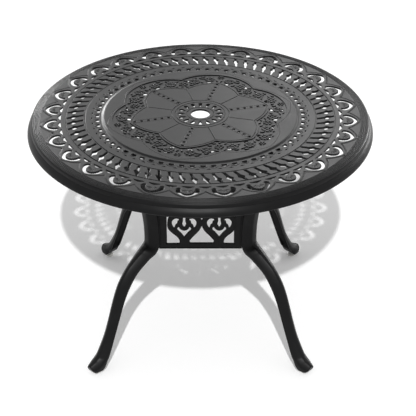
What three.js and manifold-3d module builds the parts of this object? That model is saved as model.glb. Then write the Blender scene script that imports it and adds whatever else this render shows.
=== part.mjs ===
// Round cast patio table with an umbrella hole: pierced top, four legs, pierced aprons and levelling feet.
// Millimetres, +Z up, origin on the floor under the middle of the top, aprons parallel to X and Y.
import * as THREE from "three";
import { mergeGeometries, mergeVertices } from "three/addons/utils/BufferGeometryUtils.js";
import Module from "manifold-3d";

const wasm = await Module();
wasm.setup();

// Driving dimensions

// whole table
const tableHeight = 745;
const sides = 4;
const quarterTurn = (2 * Math.PI) / sides;
const seatGap = 0.3;
const overrun = 2;

// top casting
const topDiameter = 1060;
const plateThickness = 6;
const skirtDepth = 38.5;
const skirtWall = 5.5;
const skirtLand = 4.5;
const coveInset = 11.6;
const coveDrop = 15.8;
const reedInset = 19;
const reedDrop = 2.7;
const reedBand = 20;
const topFacets = 56;

// raised centre panel
const panelLand = 6.5;
const panelRise = 3.5;
const panelSlope = 8.5;
const panelFacets = 48;

// umbrella hole, its land and the ring of petals round it
const umbrellaHoleRadius = 29.5;
const hubLand = 16.5;
const hubFacets = 20;
const petalCount = 16;
const petalLength = 24;
const petalBar = 10.7;

// ribs of the underside
const ribDepth = 14;
const ribWidth = 6;
const ribFacets = 28;
const seatRingLand = 20;
const hubRingLand = 10;
const spokeRibCount = 6;
const spokeRibDepth = 9;
const spokeRibPhase = Math.PI / 4;
const spokePhase = Math.PI / 12;

// heart band along the edge of the field; a bar is the metal left between two openings of a band
const heartCount = 28;
const heartPhase = 0.145;
const heartLand = 10.5;
const heartHeight = 41.5;
const heartBar = 13.5;
const wedgeLand = 2;
const wedgeHeight = 8.2;
const wedgeBar = 18.1;

// rope band of slanted slots
const ropeCount = 72;
const ropePhase = 0.0436;
const ropeLand = 20.3;
const ropeLength = 50.5;
const ropeBellyInset = 17.5;
const ropeBar = 19.8;
const ropeSlant = 0.048;

// band of arched holes
const archCount = 64;
const archPhase = 0.0244;
const archLand = 35;
const archHeight = 12;
const archBar = 13.5;
const archCrownShare = 0.7;

// foliage openings round the star
const foliageCount = 6;

// legs
const legWall = 5.5;
const postReach = 235.8;
const postWidth = 63.6;
const postNose = 20.6;
const postDepth = 24.4;
const postWaistHeight = 396.5;
const kneeDrop = 20;
const headLead = 3;
const shinWidth = 44;
const shinNose = 10;
const toeReach = 493;
const toeWidth = 50;
const soleHeight = 11.6;

// leg head plate and its bolts
const headPlate = 8;
const headTail = 45;
const headWidth = 68;
const earReach = 14;
const earSpread = 116;
const headBoltSpread = 92;
const headBossRadius = 10;
const bossFacets = 6;
const blindCap = 3;

// aprons
const apronHeight = 140;
const apronDrop = 37;
const apronThickness = 8;
const apronRecess = 4;
const apronRail = 22;
const apronFootRail = 14.4;
const apronStile = 22.5;
const motifPitch = 108.3;
const motifShift = 4;

// lugs that carry the aprons
const lugThickness = 6;
const lugHeight = 116;
const screwSpacing = 88;
const lugOverlap = 25;
const lugWeb = 7;

// screws
const headBoltDiameter = 8;
const headBoltHeadWidth = 13;
const headBoltHeadHeight = 5.3;
const apronBoltDiameter = 6;
const apronBoltHeadWidth = 10;
const apronBoltHeadHeight = 4;
const boltClearance = 0.8;
const boltFacets = 6;

// levelling feet
const footInset = 33;
const glideRadius = 13;
const glideHeight = 7;
const glideSocket = 4;
const glideFacets = 12;
const studDiameter = 8;
const studLength = 32;
const studFacets = 8;
const studCollarWidth = 13;
const studClearance = 0.9;

// Outlines as shares, chosen by hand

// right half of the heart slot: across as a share of half its width, up as a share of its height
const heartOuterShares = [[0.44, 0.06], [0.72, -0.03], [1, 0.14], [0.88, 0.46]];
const heartInnerShares = [[0.62, 0.33], [0.4, 0.26]];
const heartTipShare = 1;
const heartLeafTipShare = 0.7;

// lower leg from knee to toe: reach from post to toe, height below the knee, section lean in radians,
// depth as a share of the post's depth, width from post (0) to shin (1), toe widening
const lowerLegShares = [
  { reach: 0, height: 1, lean: 0.29, depth: 1, slim: 0, toe: 0 },
  { reach: 0.055, height: 0.976, lean: 0.57, depth: 1.66, slim: 0.25, toe: 0 },
  { reach: 0.164, height: 0.933, lean: 0.59, depth: 1.43, slim: 0.6, toe: 0 },
  { reach: 0.327, height: 0.854, lean: 0.69, depth: 1.22, slim: 1, toe: 0 },
  { reach: 0.46, height: 0.748, lean: 0.59, depth: 1.18, slim: 1, toe: 0 },
  { reach: 0.6, height: 0.535, lean: 0.17, depth: 1, slim: 1, toe: 0 },
  { reach: 0.712, height: 0.323, lean: 0.1, depth: 0.89, slim: 1, toe: 0 },
  { reach: 0.841, height: 0.163, lean: 0.22, depth: 1.14, slim: 1, toe: 0.3 },
  { reach: 0.891, height: 0.129, lean: 0.36, depth: 1.27, slim: 1, toe: 0.8 },
  { reach: 0.934, height: 0.113, lean: 0.66, depth: 1.52, slim: 1, toe: 1 },
  { reach: 0.965, height: 0.102, lean: 0.94, depth: 1.52, slim: 1, toe: 1 },
  { reach: 0.988, height: 0.094, lean: 1.15, depth: 1.21, slim: 1, toe: 0.2 },
  { reach: 1, height: 0.084, lean: 1.29, depth: 0.6, slim: 1.6, toe: 0 },
];
const solidToeStations = 5;
const solidCoreShare = 0.8;

// apron motifs: across as a share of half the motif pitch, up as a share of the apron's height
const crescentShares = [
  [-0.7, 0.67], [-0.6, 0.775], [-0.3, 0.775], [-0.38, 0.705], [-0.43, 0.63], [-0.562, 0.533], [-0.65, 0.58],
];
const teardropShares = [
  [-0.076, 0.811], [0.076, 0.811], [0.062, 0.74], [0.105, 0.63], [0, 0.559], [-0.105, 0.63], [-0.062, 0.74],
];
const chevronShares = [
  [0, 0.475], [0.2, 0.505], [0.32, 0.572], [0.39, 0.51], [0.2, 0.41],
  [0, 0.301], [-0.2, 0.41], [-0.39, 0.51], [-0.32, 0.572], [-0.2, 0.505],
];
const archwayShares = [
  [0, 0.6], [-0.083, 0.52], [-0.22, 0.436], [-0.66, 0.236], [-0.7, 0.183], [-0.65, 0.139],
  [0.65, 0.139], [0.7, 0.183], [0.66, 0.236], [0.22, 0.436], [0.083, 0.52],
];
const gussetShares = [[-0.085, 0.8], [0.085, 0.8], [0, 0.73]];
const wingShares = [
  [-1.3, 0.838], [-0.826, 0.838], [-0.945, 0.74], [-0.965, 0.58], [-0.882, 0.501],
  [-0.464, 0.333], [-0.3, 0.245], [-0.264, 0.185], [-0.29, 0.127], [-1.3, 0.122],
];

// petal of the hub ring: along it and across half of it
const petalShares = [[0, 0], [0.6, -1], [1, -0.45], [1, 0.45], [0.6, 1]];
const petalBellyShare = 0.6;

// foliage openings: radius, length and width as shares of the panel's radius, turn and lean in radians
const foliageShares = [
  { radius: 0.742, turn: 0.113, length: 0.059, width: 0.036, lean: 0.5 },
  { radius: 0.772, turn: 0.41, length: 0.049, width: 0.036, lean: -0.4 },
];

// Sizes that follow

// radii of the top's bands, from the rim inwards
const topRadius = topDiameter / 2;
const coveRadius = topRadius - coveInset;
const reedRadius = topRadius - reedInset;
const fieldRadius = reedRadius - reedBand;
const heartFoot = fieldRadius - heartLand - heartHeight;
const wedgeOuter = heartFoot - wedgeLand;
const wedgeInner = wedgeOuter - wedgeHeight;
const ropeOuter = wedgeInner - ropeLand;
const ropeInner = ropeOuter - ropeLength;
const ropeBelly = ropeOuter - ropeBellyInset;
const archOuter = ropeInner - archLand;
const archInner = archOuter - archHeight;
const panelRadius = archInner - panelLand;
const petalInner = umbrellaHoleRadius + hubLand;
const petalOuter = petalInner + petalLength;

// ring ribs, and the leg heads that seat under the outer one
const panelRing = panelRadius - panelSlope;
const seatRingRadius = archOuter + seatRingLand;
const hubRing = petalOuter + hubRingLand;
const headBoltReach = seatRingRadius - ribWidth / 2;
const headReach = seatRingRadius + headLead;
const headInner = seatRingRadius - headTail;
const headOuter = seatRingRadius + earReach;
const earInner = seatRingRadius - earReach;

// heights
const fieldHeight = tableHeight - panelRise;
const plateUnderside = fieldHeight - plateThickness;
const panelUnderside = tableHeight - plateThickness;
const ribBottom = plateUnderside - (ribDepth - plateThickness);
const spokeRibBottom = panelUnderside - spokeRibDepth;
const headPlateTop = ribBottom - seatGap;
const headPlateBottom = headPlateTop - headPlate;
const kneeHeight = postWaistHeight - kneeDrop;
const apronBottom = postWaistHeight - apronDrop;
const apronTop = apronBottom + apronHeight;
const apronFace = (postReach + postNose / 2) * Math.SQRT1_2 - apronRecess;
const apronBack = apronFace - apronThickness;
const lugFace = apronBack - seatGap;
const lugBack = lugFace - lugThickness;
const apronMiddle = apronBottom + apronHeight / 2;
const footReach = toeReach - footInset;

// Geometry helpers

// closed three.js geometry to a manifold solid
function solidOf(geometry) {
  const bare = geometry.clone();
  bare.deleteAttribute("normal");
  bare.deleteAttribute("uv");
  const merged = mergeVertices(bare);
  const corners = merged.index.array;
  const kept = [];
  for (let i = 0; i < corners.length; i += 3) {
    const [a, b, c] = [corners[i], corners[i + 1], corners[i + 2]];
    if (a !== b && b !== c && c !== a) {
      kept.push(a, b, c);
    }
  }
  return new wasm.Manifold(new wasm.Mesh({
    numProp: 3,
    vertProperties: new Float32Array(merged.attributes.position.array),
    triVerts: new Uint32Array(kept),
  }));
}

// manifold solid back to a three.js geometry
function geometryOf(solid) {
  const mesh = solid.getMesh();
  const geometry = new THREE.BufferGeometry();
  geometry.setAttribute("position", new THREE.BufferAttribute(new Float32Array(mesh.vertProperties), 3));
  geometry.setIndex(new THREE.BufferAttribute(new Uint32Array(mesh.triVerts), 1));
  geometry.computeVertexNormals();
  return geometry;
}

// joins several geometries into one solid
function joined(...geometries) {
  return geometries.map(solidOf).reduce((whole, piece) => whole.add(piece));
}

// prism of an outline of [x, y] points from one height to another
function prism(outline, bottom, top) {
  const shape = new THREE.Shape(outline.map(([x, y]) => new THREE.Vector2(x, y)));
  const geometry = new THREE.ExtrudeGeometry(shape, { depth: top - bottom, bevelEnabled: false });
  return geometry.translate(0, 0, bottom);
}

// revolved profile of [radius, height] points, standing on +Z
function revolved(profile, facets) {
  const points = profile.map(([radius, height]) => new THREE.Vector2(radius, height));
  return new THREE.LatheGeometry(points, facets).rotateX(Math.PI / 2);
}

// upright disc or regular prism
function roundBar(radius, bottom, top, facets) {
  return revolved([[0, bottom], [radius, bottom], [radius, top], [0, top]], facets);
}

// closed ring of rectangular section
function ring(inner, outer, bottom, top, facets) {
  return revolved([[inner, bottom], [outer, bottom], [outer, top], [inner, top], [inner, bottom]], facets);
}

// box between two corners
function boxBetween(low, high) {
  const size = high.map((value, axis) => value - low[axis]);
  const middle = high.map((value, axis) => (value + low[axis]) / 2);
  return new THREE.BoxGeometry(...size).translate(...middle);
}

// point at a radius and a turn
function polar(radius, turn) {
  return [radius * Math.cos(turn), radius * Math.sin(turn)];
}

// width of one opening of a band: its share of the circle less the bar between two
function openingWidth(radius, count, bar) {
  return (2 * Math.PI * radius) / count - bar;
}

// outline given along a radius and across it, laid at a turn
function laidOut(points, turn) {
  const [c, s] = [Math.cos(turn), Math.sin(turn)];
  return points.map(([along, across]) => [along * c - across * s, along * s + across * c]);
}

// the same outline-maker at even turns round the axis
function aroundAxis(count, phase, maker) {
  return Array.from({ length: count }, (_, i) => maker(phase + (i * 2 * Math.PI) / count));
}

// flat ring of points seen square on, in its own plane
function faceOn(points) {
  const along = points[2].clone().sub(points[0]).normalize();
  const normal = along.clone().cross(points[points.length - 1].clone().sub(points[0])).normalize();
  const across = normal.clone().cross(along);
  return points.map((point) => new THREE.Vector2(point.dot(along), point.dot(across)));
}

// skin through rings of equal point count, capped at both ends
function loft(rings) {
  const count = rings[0].length;
  const positions = rings.flat().flatMap((point) => point.toArray());
  const index = [];
  for (let i = 0; i + 1 < rings.length; i += 1) {
    for (let j = 0; j < count; j += 1) {
      const k = (j + 1) % count;
      const [a, b] = [i * count + j, i * count + k];
      index.push(a, b + count, b, a, a + count, b + count);
    }
  }
  const last = (rings.length - 1) * count;
  for (const [a, b, c] of THREE.ShapeUtils.triangulateShape(faceOn(rings[0]), [])) {
    index.push(a, b, c);
  }
  for (const [a, b, c] of THREE.ShapeUtils.triangulateShape(faceOn(rings[rings.length - 1]), [])) {
    index.push(last + a, last + c, last + b);
  }
  const geometry = new THREE.BufferGeometry();
  geometry.setAttribute("position", new THREE.Float32BufferAttribute(positions, 3));
  geometry.setIndex(index);
  return geometry;
}

// Top casting

// dished disc with its stepped rim and hollow skirt
function plateProfile() {
  const skirtBottom = fieldHeight - skirtDepth;
  const skirtTop = skirtBottom + skirtLand;
  return [
    [0, plateUnderside],
    [fieldRadius, plateUnderside],
    [reedRadius - skirtWall, plateUnderside - reedDrop],
    [coveRadius - skirtWall, fieldHeight - coveDrop],
    [topRadius - skirtWall, skirtBottom],
    [topRadius, skirtBottom],
    [topRadius, skirtTop],
    [coveRadius, fieldHeight - coveDrop],
    [reedRadius, fieldHeight - reedDrop],
    [fieldRadius, fieldHeight],
    [0, fieldHeight],
  ];
}

function panelProfile() {
  return [
    [0, plateUnderside + plateThickness / 2],
    [panelRadius, plateUnderside + plateThickness / 2],
    [panelRadius, fieldHeight],
    [panelRadius - panelSlope, tableHeight],
    [0, tableHeight],
  ];
}

// heart slot that points outwards, right half and its mirror
function heartOutline() {
  const width = openingWidth(heartFoot, heartCount, heartBar);
  const across = (share) => (share * width) / 2;
  const along = (share) => heartFoot + share * heartHeight;
  const outer = heartOuterShares.map(([x, y]) => [along(y), across(x)]);
  const inner = heartInnerShares.map(([x, y]) => [along(y), across(x)]);
  const mirrored = ([r, x]) => [r, -x];
  return [
    ...outer,
    [along(heartTipShare), 0],
    ...outer.map(mirrored).reverse(),
    ...inner.map(mirrored).reverse(),
    [along(heartLeafTipShare), 0],
    ...inner,
  ];
}

function ropeOutline(turn) {
  const slant = (radius) => turn + (ropeSlant * (radius - ropeBelly)) / ropeLength;
  const half = openingWidth(ropeBelly, ropeCount, ropeBar) / 2 / ropeBelly;
  return [
    polar(ropeInner, slant(ropeInner)),
    polar(ropeBelly, turn - half),
    polar(ropeOuter, slant(ropeOuter)),
    polar(ropeBelly, turn + half),
  ];
}

function archOutline() {
  const half = openingWidth(archInner, archCount, archBar) / 2;
  const crown = archCrownShare * half;
  return [[archInner, -half], [archOuter, -crown], [archOuter, crown], [archInner, half]];
}

function petalOutline() {
  const belly = petalInner + petalBellyShare * petalLength;
  const half = openingWidth(belly, petalCount, petalBar) / 2;
  return petalShares.map(([along, across]) => [petalInner + along * petalLength, across * half]);
}

// lozenge opening of the foliage, mirrored on both sides of a spoke
function foliageOutline(leaf, side, spoke) {
  const [length, width] = [leaf.length * panelRadius, leaf.width * panelRadius];
  const lozenge = [[-length / 2, 0], [0, -width / 2], [length / 2, 0], [0, width / 2]];
  const [c, s] = [Math.cos(side * leaf.lean), Math.sin(side * leaf.lean)];
  const placed = lozenge.map(([x, y]) => [leaf.radius * panelRadius + y * c + x * s, x * c - y * s]);
  return laidOut(placed, spoke + side * leaf.turn);
}

function topOutlines() {
  const outlines = [];
  outlines.push(...aroundAxis(petalCount, 0, (turn) => laidOut(petalOutline(), turn)));
  outlines.push(...aroundAxis(archCount, archPhase, (turn) => laidOut(archOutline(), turn)));
  outlines.push(...aroundAxis(ropeCount, ropePhase, ropeOutline));
  outlines.push(...aroundAxis(heartCount, heartPhase, (turn) => laidOut(heartOutline(), turn)));
  const half = openingWidth(wedgeInner, 2 * heartCount, wedgeBar) / 2;
  const wedge = [[wedgeInner, -half], [wedgeOuter, 0], [wedgeInner, half]];
  outlines.push(...aroundAxis(2 * heartCount, heartPhase, (turn) => laidOut(wedge, turn)));
  for (const opening of foliageShares) {
    for (const side of [-1, 1]) {
      outlines.push(...aroundAxis(foliageCount, spokePhase, (turn) => foliageOutline(opening, side, turn)));
    }
  }
  return outlines;
}

// places of the head bolts and the turn of the leg that each belongs to
function headBoltPlaces() {
  return aroundAxis(sides, quarterTurn / 2, (turn) => [-1, 1].map((side) => {
    const [place] = laidOut([[headBoltReach, (side * headBoltSpread) / 2]], turn);
    return [...place, turn];
  })).flat();
}

function makeTop() {
  const half = ribWidth / 2;
  const recess = roundBar(panelRing, plateUnderside - overrun, panelUnderside, ribFacets);
  let top = joined(revolved(plateProfile(), topFacets), revolved(panelProfile(), panelFacets));
  top = top.subtract(solidOf(recess));
  const inside = (panelUnderside + fieldHeight) / 2;
  const rings = [[panelRing, ribBottom], [seatRingRadius, ribBottom], [hubRing, spokeRibBottom]];
  for (const [radius, low] of rings) {
    top = top.add(solidOf(ring(radius - half, radius + half, low, inside, ribFacets)));
  }
  for (let i = 0; i < spokeRibCount; i += 1) {
    const low = [hubRing, -half, spokeRibBottom];
    const high = [panelRing, half, inside];
    const rib = boxBetween(low, high).rotateZ(spokeRibPhase + (i * 2 * Math.PI) / spokeRibCount);
    top = top.add(solidOf(rib));
  }
  for (const [x, y] of headBoltPlaces()) {
    const post = roundBar(headBossRadius, ribBottom, inside, bossFacets).translate(x, y, 0);
    top = top.add(solidOf(post));
  }
  const [under, over] = [plateUnderside - overrun, tableHeight + overrun];
  const cutters = topOutlines().map((outline) => prism(outline, under, over));
  cutters.push(roundBar(umbrellaHoleRadius, under, over, hubFacets).toNonIndexed());
  const boreRadius = (headBoltDiameter + boltClearance) / 2;
  for (const [x, y, turn] of headBoltPlaces()) {
    const bore = roundBar(boreRadius, ribBottom - overrun, fieldHeight - blindCap, boltFacets);
    cutters.push(bore.rotateZ(turn).translate(x, y, 0).toNonIndexed());
  }
  return top.subtract(solidOf(mergeGeometries(cutters)));
}

// Legs

// outward sweep of the upper leg above its waist
function headFlare(height) {
  const share = Math.max(0, height - postWaistHeight) / (headPlateBottom - postWaistHeight);
  return (headReach - postReach) * share * share;
}

function headFlareLean(height) {
  const span = headPlateBottom - postWaistHeight;
  const share = Math.max(0, height - postWaistHeight) / span;
  return Math.atan((2 * (headReach - postReach) * share) / span);
}

// heights where the post's sweep bends, shared with the ends of the aprons
function postSteps() {
  return [postWaistHeight, (postWaistHeight + apronTop) / 2, apronTop];
}

// section frames from head to toe: outer point, lean of the section, depth, width and nose
function legStations() {
  const stations = [];
  const heights = [...postSteps(), (apronTop + headPlateBottom) / 2, headPlateBottom];
  for (const height of heights.reverse()) {
    const atHead = height === headPlateBottom;
    const lean = atHead ? 0 : -headFlareLean(height);
    const depth = atHead ? postDepth / Math.cos(headFlareLean(height)) : postDepth;
    const reach = postReach + headFlare(height);
    stations.push({ reach, height, lean, depth, width: postWidth, nose: postNose });
  }
  for (const share of lowerLegShares) {
    stations.push({
      filled: lowerLegShares.length - lowerLegShares.indexOf(share) <= solidToeStations,
      reach: postReach + share.reach * (toeReach - postReach),
      height: share.height * kneeHeight,
      lean: share.lean,
      depth: share.depth * postDepth,
      width: postWidth + share.slim * (shinWidth - postWidth) + share.toe * (toeWidth - shinWidth),
      nose: postNose + Math.min(1, share.slim) * (shinNose - postNose) + share.toe * shinNose,
    });
  }
  return stations;
}

// channel section: nose, shoulders at 45 degrees and flanks outside, the same one wall in; solid where filled
function legSection(station) {
  const corner = Math.tan(Math.PI / 8);
  const flank = station.width / 2;
  const nose = station.nose / 2;
  const shoulder = Math.min(flank - nose, station.depth - legWall);
  const side = [[0, nose], [shoulder, flank], [station.depth, flank]];
  const inner = station.filled
    ? side.map(([, across]) => [station.depth, across * solidCoreShare]).reverse()
    : [
      [station.depth, flank - legWall],
      [Math.min(shoulder + legWall * corner, station.depth), flank - legWall],
      [legWall, nose - legWall * corner],
    ];
  const half = [...side, ...inner];
  const outline = [...half, ...half.map(([inward, across]) => [inward, -across]).reverse()];
  return outline.map(([inward, across]) => new THREE.Vector3(
    station.reach - inward * Math.cos(station.lean),
    across,
    station.height - inward * Math.sin(station.lean),
  ));
}

function makeLegBlank() {
  const body = solidOf(loft(legStations().map(legSection)));
  const floor = boxBetween([footReach - toeWidth, -toeWidth, 0], [toeReach + overrun, toeWidth, soleHeight]);
  return body.subtract(solidOf(floor));
}

// plate under the top with an ear for each bolt
function addHeadPlate(leg) {
  const overlap = headPlateBottom;
  const plate = boxBetween([headInner, -headWidth / 2, overlap], [headOuter, headWidth / 2, headPlateTop]);
  const ears = boxBetween([earInner, -earSpread / 2, overlap], [headOuter, earSpread / 2, headPlateTop]);
  let whole = leg.add(solidOf(plate)).add(solidOf(ears));
  for (const side of [-1, 1]) {
    const radius = (headBoltDiameter + boltClearance) / 2;
    const bore = roundBar(radius, headPlateBottom - overrun, headPlateTop + overrun, boltFacets);
    whole = whole.subtract(solidOf(bore.translate(headBoltReach, (side * headBoltSpread) / 2, 0)));
  }
  return whole;
}

// heights of the two apron screws of each joint
function apronScrewHeights() {
  return [-1, 1].map((side) => apronMiddle + (side * screwSpacing) / 2);
}

// edge of the post along an apron, at a height
function postEdge(height) {
  const back = postReach - (postWidth - postNose) / 2;
  return (back - postWidth / 2 + headFlare(height)) * Math.SQRT1_2;
}

function apronScrewPlace() {
  return postEdge(apronBottom) - seatGap - apronStile / 2;
}

// lug behind the end of an apron on +X, with the web that joins it to the post's wall
function apronLug() {
  const [low, high] = [apronMiddle - lugHeight / 2, apronMiddle + lugHeight / 2];
  const edge = postEdge(high) + seatGap;
  const wall = (height) => apronFace + headFlare(height) * Math.SQRT1_2;
  const lug = boxBetween([lugBack, postEdge(low) - lugOverlap, low], [lugFace, edge + lugWeb, high]);
  const side = [low, postWaistHeight, apronMiddle, high].map((height) => [wall(height), height]);
  const web = prism([[lugBack, low], ...side, [lugBack, high]], -edge - lugWeb, -edge);
  let solid = joined(lug, web.rotateX(quarterTurn));
  const boreRadius = (apronBoltDiameter + boltClearance) / 2;
  for (const height of apronScrewHeights()) {
    const bore = roundBar(boreRadius, lugBack - overrun, lugFace + overrun, boltFacets);
    bore.rotateZ(quarterTurn).rotateY(quarterTurn).translate(0, apronScrewPlace(), height);
    solid = solid.subtract(solidOf(bore));
  }
  return geometryOf(solid);
}

// lugs of both aprons that meet the leg between +X and +Y
function addLugs(leg) {
  const lug = apronLug();
  const twin = turnedOut(lug.clone().scale(1, -1, 1).rotateZ(quarterTurn));
  return leg.add(solidOf(lug)).add(solidOf(twin));
}

// turns a geometry's faces out again after a mirror
function turnedOut(geometry) {
  const index = geometry.index.array;
  for (let i = 0; i < index.length; i += 3) {
    [index[i], index[i + 1]] = [index[i + 1], index[i]];
  }
  return geometry;
}

function makeLeg() {
  let leg = addHeadPlate(makeLegBlank());
  const radius = (studDiameter + studClearance) / 2;
  const bore = roundBar(radius, 0, studTop() + boltClearance, studFacets + 2).translate(footReach, 0, 0);
  leg = leg.subtract(solidOf(bore));
  const turned = geometryOf(leg).rotateZ(quarterTurn / 2);
  return addLugs(solidOf(turned));
}

// Aprons

// standing plate whose ends follow the posts; X runs along it and Y up, later stood up
function apronOutline() {
  const right = [apronBottom, ...postSteps()].map((height) => [postEdge(height) - seatGap, height]);
  const left = right.map(([x, height]) => [-x, height]).reverse();
  return [...right, ...left];
}

function placedMotif(shares, middle, flip) {
  return shares.map(([x, y]) => [middle + (flip * x * motifPitch) / 2, apronBottom + y * apronHeight]);
}

function apronCutters() {
  const [left, right] = [motifShift - motifPitch / 2, motifShift + motifPitch / 2];
  const outlines = [placedMotif(archwayShares, motifShift, 1), placedMotif(gussetShares, motifShift, 1)];
  for (const middle of [left, right]) {
    outlines.push(placedMotif(crescentShares, middle, 1), placedMotif(crescentShares, middle, -1));
    outlines.push(placedMotif(teardropShares, middle, 1), placedMotif(chevronShares, middle, 1));
  }
  return outlines;
}

function makeApron() {
  const [front, behind] = [-overrun, apronThickness + overrun];
  const wings = [
    placedMotif(wingShares, motifShift - motifPitch / 2, 1),
    placedMotif(wingShares, motifShift + motifPitch / 2, -1),
  ];
  const inner = postEdge(apronBottom) - seatGap - apronStile;
  const frame = boxBetween(
    [-inner, apronBottom + apronFootRail, front - overrun],
    [inner, apronTop - apronRail, behind + overrun],
  );
  const window = solidOf(frame);
  let apron = solidOf(prism(apronOutline(), 0, apronThickness));
  for (const outline of [...apronCutters(), ...wings]) {
    apron = apron.subtract(solidOf(prism(outline, front, behind)).intersect(window));
  }
  for (const height of apronScrewHeights()) {
    for (const side of [-1, 1]) {
      const radius = (apronBoltDiameter + boltClearance) / 2;
      const bore = roundBar(radius, -overrun, apronThickness - blindCap, boltFacets);
      apron = apron.subtract(solidOf(bore.translate(side * apronScrewPlace(), height, 0)));
    }
  }
  return geometryOf(apron).rotateX(Math.PI / 2).rotateZ(Math.PI).translate(0, apronBack, 0);
}

// Screws and feet

// hexagon head below, shank above, both on +Z; the head ends at height zero
function makeScrew(diameter, headWidth, headHeight, reach) {
  const cornerRadius = headWidth / Math.sqrt(3);
  const head = roundBar(cornerRadius, -headHeight, 0, boltFacets);
  const shank = roundBar(diameter / 2, -headHeight / 2, reach, boltFacets);
  return geometryOf(joined(head, shank));
}

function glideTop() {
  return glideHeight;
}

function studFoot() {
  return glideHeight - glideSocket + seatGap;
}

function studTop() {
  return studFoot() + studLength;
}

function makeGlide() {
  const outer = roundBar(glideRadius, 0, glideTop(), glideFacets);
  const radius = (studDiameter + studClearance) / 2;
  const socket = roundBar(radius, glideHeight - glideSocket, glideTop() + overrun, studFacets + 2);
  return geometryOf(solidOf(outer).subtract(solidOf(socket)));
}

function makeStud() {
  const bar = roundBar(studDiameter / 2, studFoot(), studTop(), studFacets);
  const bottom = glideTop() + seatGap;
  const collar = roundBar(studCollarWidth / Math.sqrt(3), bottom, soleHeight - seatGap, boltFacets);
  return geometryOf(joined(bar, collar));
}

// Scene graph

const table = new THREE.Group();
table.name = "umbrella_table";

const casting = { color: 0x17181a, roughness: 0.42, metalness: 0.55 };
const zinc = { color: 0x8d9094, roughness: 0.38, metalness: 0.9 };
const nylon = { color: 0xd8d6cf, roughness: 0.55, metalness: 0 };

function place(name, geometry, finish, parent = table) {
  const mesh = new THREE.Mesh(geometry, new THREE.MeshStandardMaterial(finish));
  mesh.name = name;
  parent.add(mesh);
  return mesh;
}

place("table_top", geometryOf(makeTop()), casting);

const quarterNames = ["back_right", "back_left", "front_left", "front_right"];
const sideNames = ["back", "left", "front", "right"];
const legGeometry = geometryOf(makeLeg());
const apronGeometry = makeApron();
const glideGeometry = makeGlide();
const studGeometry = makeStud();
const headBoltReachUp = fieldHeight - blindCap - boltClearance - headPlateBottom + seatGap;
const headBolt = makeScrew(headBoltDiameter, headBoltHeadWidth, headBoltHeadHeight, headBoltReachUp);
const apronBoltReach = apronThickness - blindCap - boltClearance + seatGap + lugThickness + seatGap;
const apronBolt = makeScrew(apronBoltDiameter, apronBoltHeadWidth, apronBoltHeadHeight, apronBoltReach);

for (let i = 0; i < sides; i += 1) {
  const corner = new THREE.Group();
  corner.rotation.z = i * quarterTurn;
  table.add(corner);
  place(`leg_${quarterNames[i]}`, legGeometry.clone(), casting, corner);
  place(`apron_${sideNames[i]}`, apronGeometry.clone(), casting, corner);
  const [footX, footY] = polar(footReach, quarterTurn / 2);
  place(`glide_${quarterNames[i]}`, glideGeometry.clone(), nylon, corner).position.set(footX, footY, 0);
  place(`stud_${quarterNames[i]}`, studGeometry.clone(), zinc, corner).position.set(footX, footY, 0);
  for (const [side, end] of [[-1, "a"], [1, "b"]]) {
    const [[x, y]] = laidOut([[headBoltReach, (side * headBoltSpread) / 2]], quarterTurn / 2);
    const bolt = place(`head_bolt_${quarterNames[i]}_${end}`, headBolt.clone(), zinc, corner);
    bolt.position.set(x, y, headPlateBottom - seatGap);
    bolt.rotation.z = quarterTurn / 2;
    apronScrewHeights().forEach((height, level) => {
      const screw = place(`apron_bolt_${sideNames[i]}_${end}${level + 1}`, apronBolt.clone(), zinc, corner);
      screw.position.set(side * apronScrewPlace(), lugBack - seatGap, height);
      screw.rotation.x = -Math.PI / 2;
    });
  }
}

export default table;
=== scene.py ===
"""Looks of a round cast patio table with an umbrella hole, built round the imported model's frame."""

import logging
import math
from abc import ABC, abstractmethod
from collections.abc import Iterable, Sequence
from dataclasses import dataclass, field
from enum import Enum

import bmesh
import bpy
import numpy as np
from mathutils import Matrix, Quaternion, Vector
from mathutils.geometry import delaunay_2d_cdt


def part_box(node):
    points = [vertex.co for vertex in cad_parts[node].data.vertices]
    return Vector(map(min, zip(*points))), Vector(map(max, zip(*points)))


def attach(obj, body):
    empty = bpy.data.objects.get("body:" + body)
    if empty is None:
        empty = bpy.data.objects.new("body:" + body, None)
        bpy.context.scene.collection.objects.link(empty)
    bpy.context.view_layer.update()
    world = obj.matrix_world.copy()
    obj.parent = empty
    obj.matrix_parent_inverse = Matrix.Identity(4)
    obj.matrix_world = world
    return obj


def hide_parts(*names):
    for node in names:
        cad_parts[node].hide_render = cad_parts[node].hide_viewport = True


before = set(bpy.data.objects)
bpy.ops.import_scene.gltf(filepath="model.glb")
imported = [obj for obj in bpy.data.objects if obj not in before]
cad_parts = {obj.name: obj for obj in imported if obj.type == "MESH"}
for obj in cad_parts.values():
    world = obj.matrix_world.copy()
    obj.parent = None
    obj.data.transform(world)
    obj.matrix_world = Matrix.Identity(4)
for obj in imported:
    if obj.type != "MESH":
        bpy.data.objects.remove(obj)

log = logging.getLogger("patio_table")

Point2 = tuple[float, float]
Outline = list[Point2]
Colour = tuple[float, float, float]
Sockets = dict[str | int, object]

TURN = 2 * math.pi
DIAGONAL = math.sqrt(0.5)
WELD = 1e-7
SNAP = 1e-8
LEAST_EDGE = 1e-9
PLATE_SMOOTH = 20.0
LATHE_SMOOTH = 32.0
HEXAGON_CHAMFER = 0.0004
SHARPEST_MITRE = 0.45
LONGEST_CUT_SHARE = 0.42

# stands a plate up to face +X, its plan running along +Y and up
FACING_X = Matrix(((0, 0, 1, 0), (1, 0, 0, 0), (0, 1, 0, 0), (0, 0, 0, 1)))
# stands a plate up to face +Y, its plan running along -X and up
FACING_Y = Matrix(((-1, 0, 0, 0), (0, 0, 1, 0), (0, 1, 0, 0), (0, 0, 0, 1)))
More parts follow.
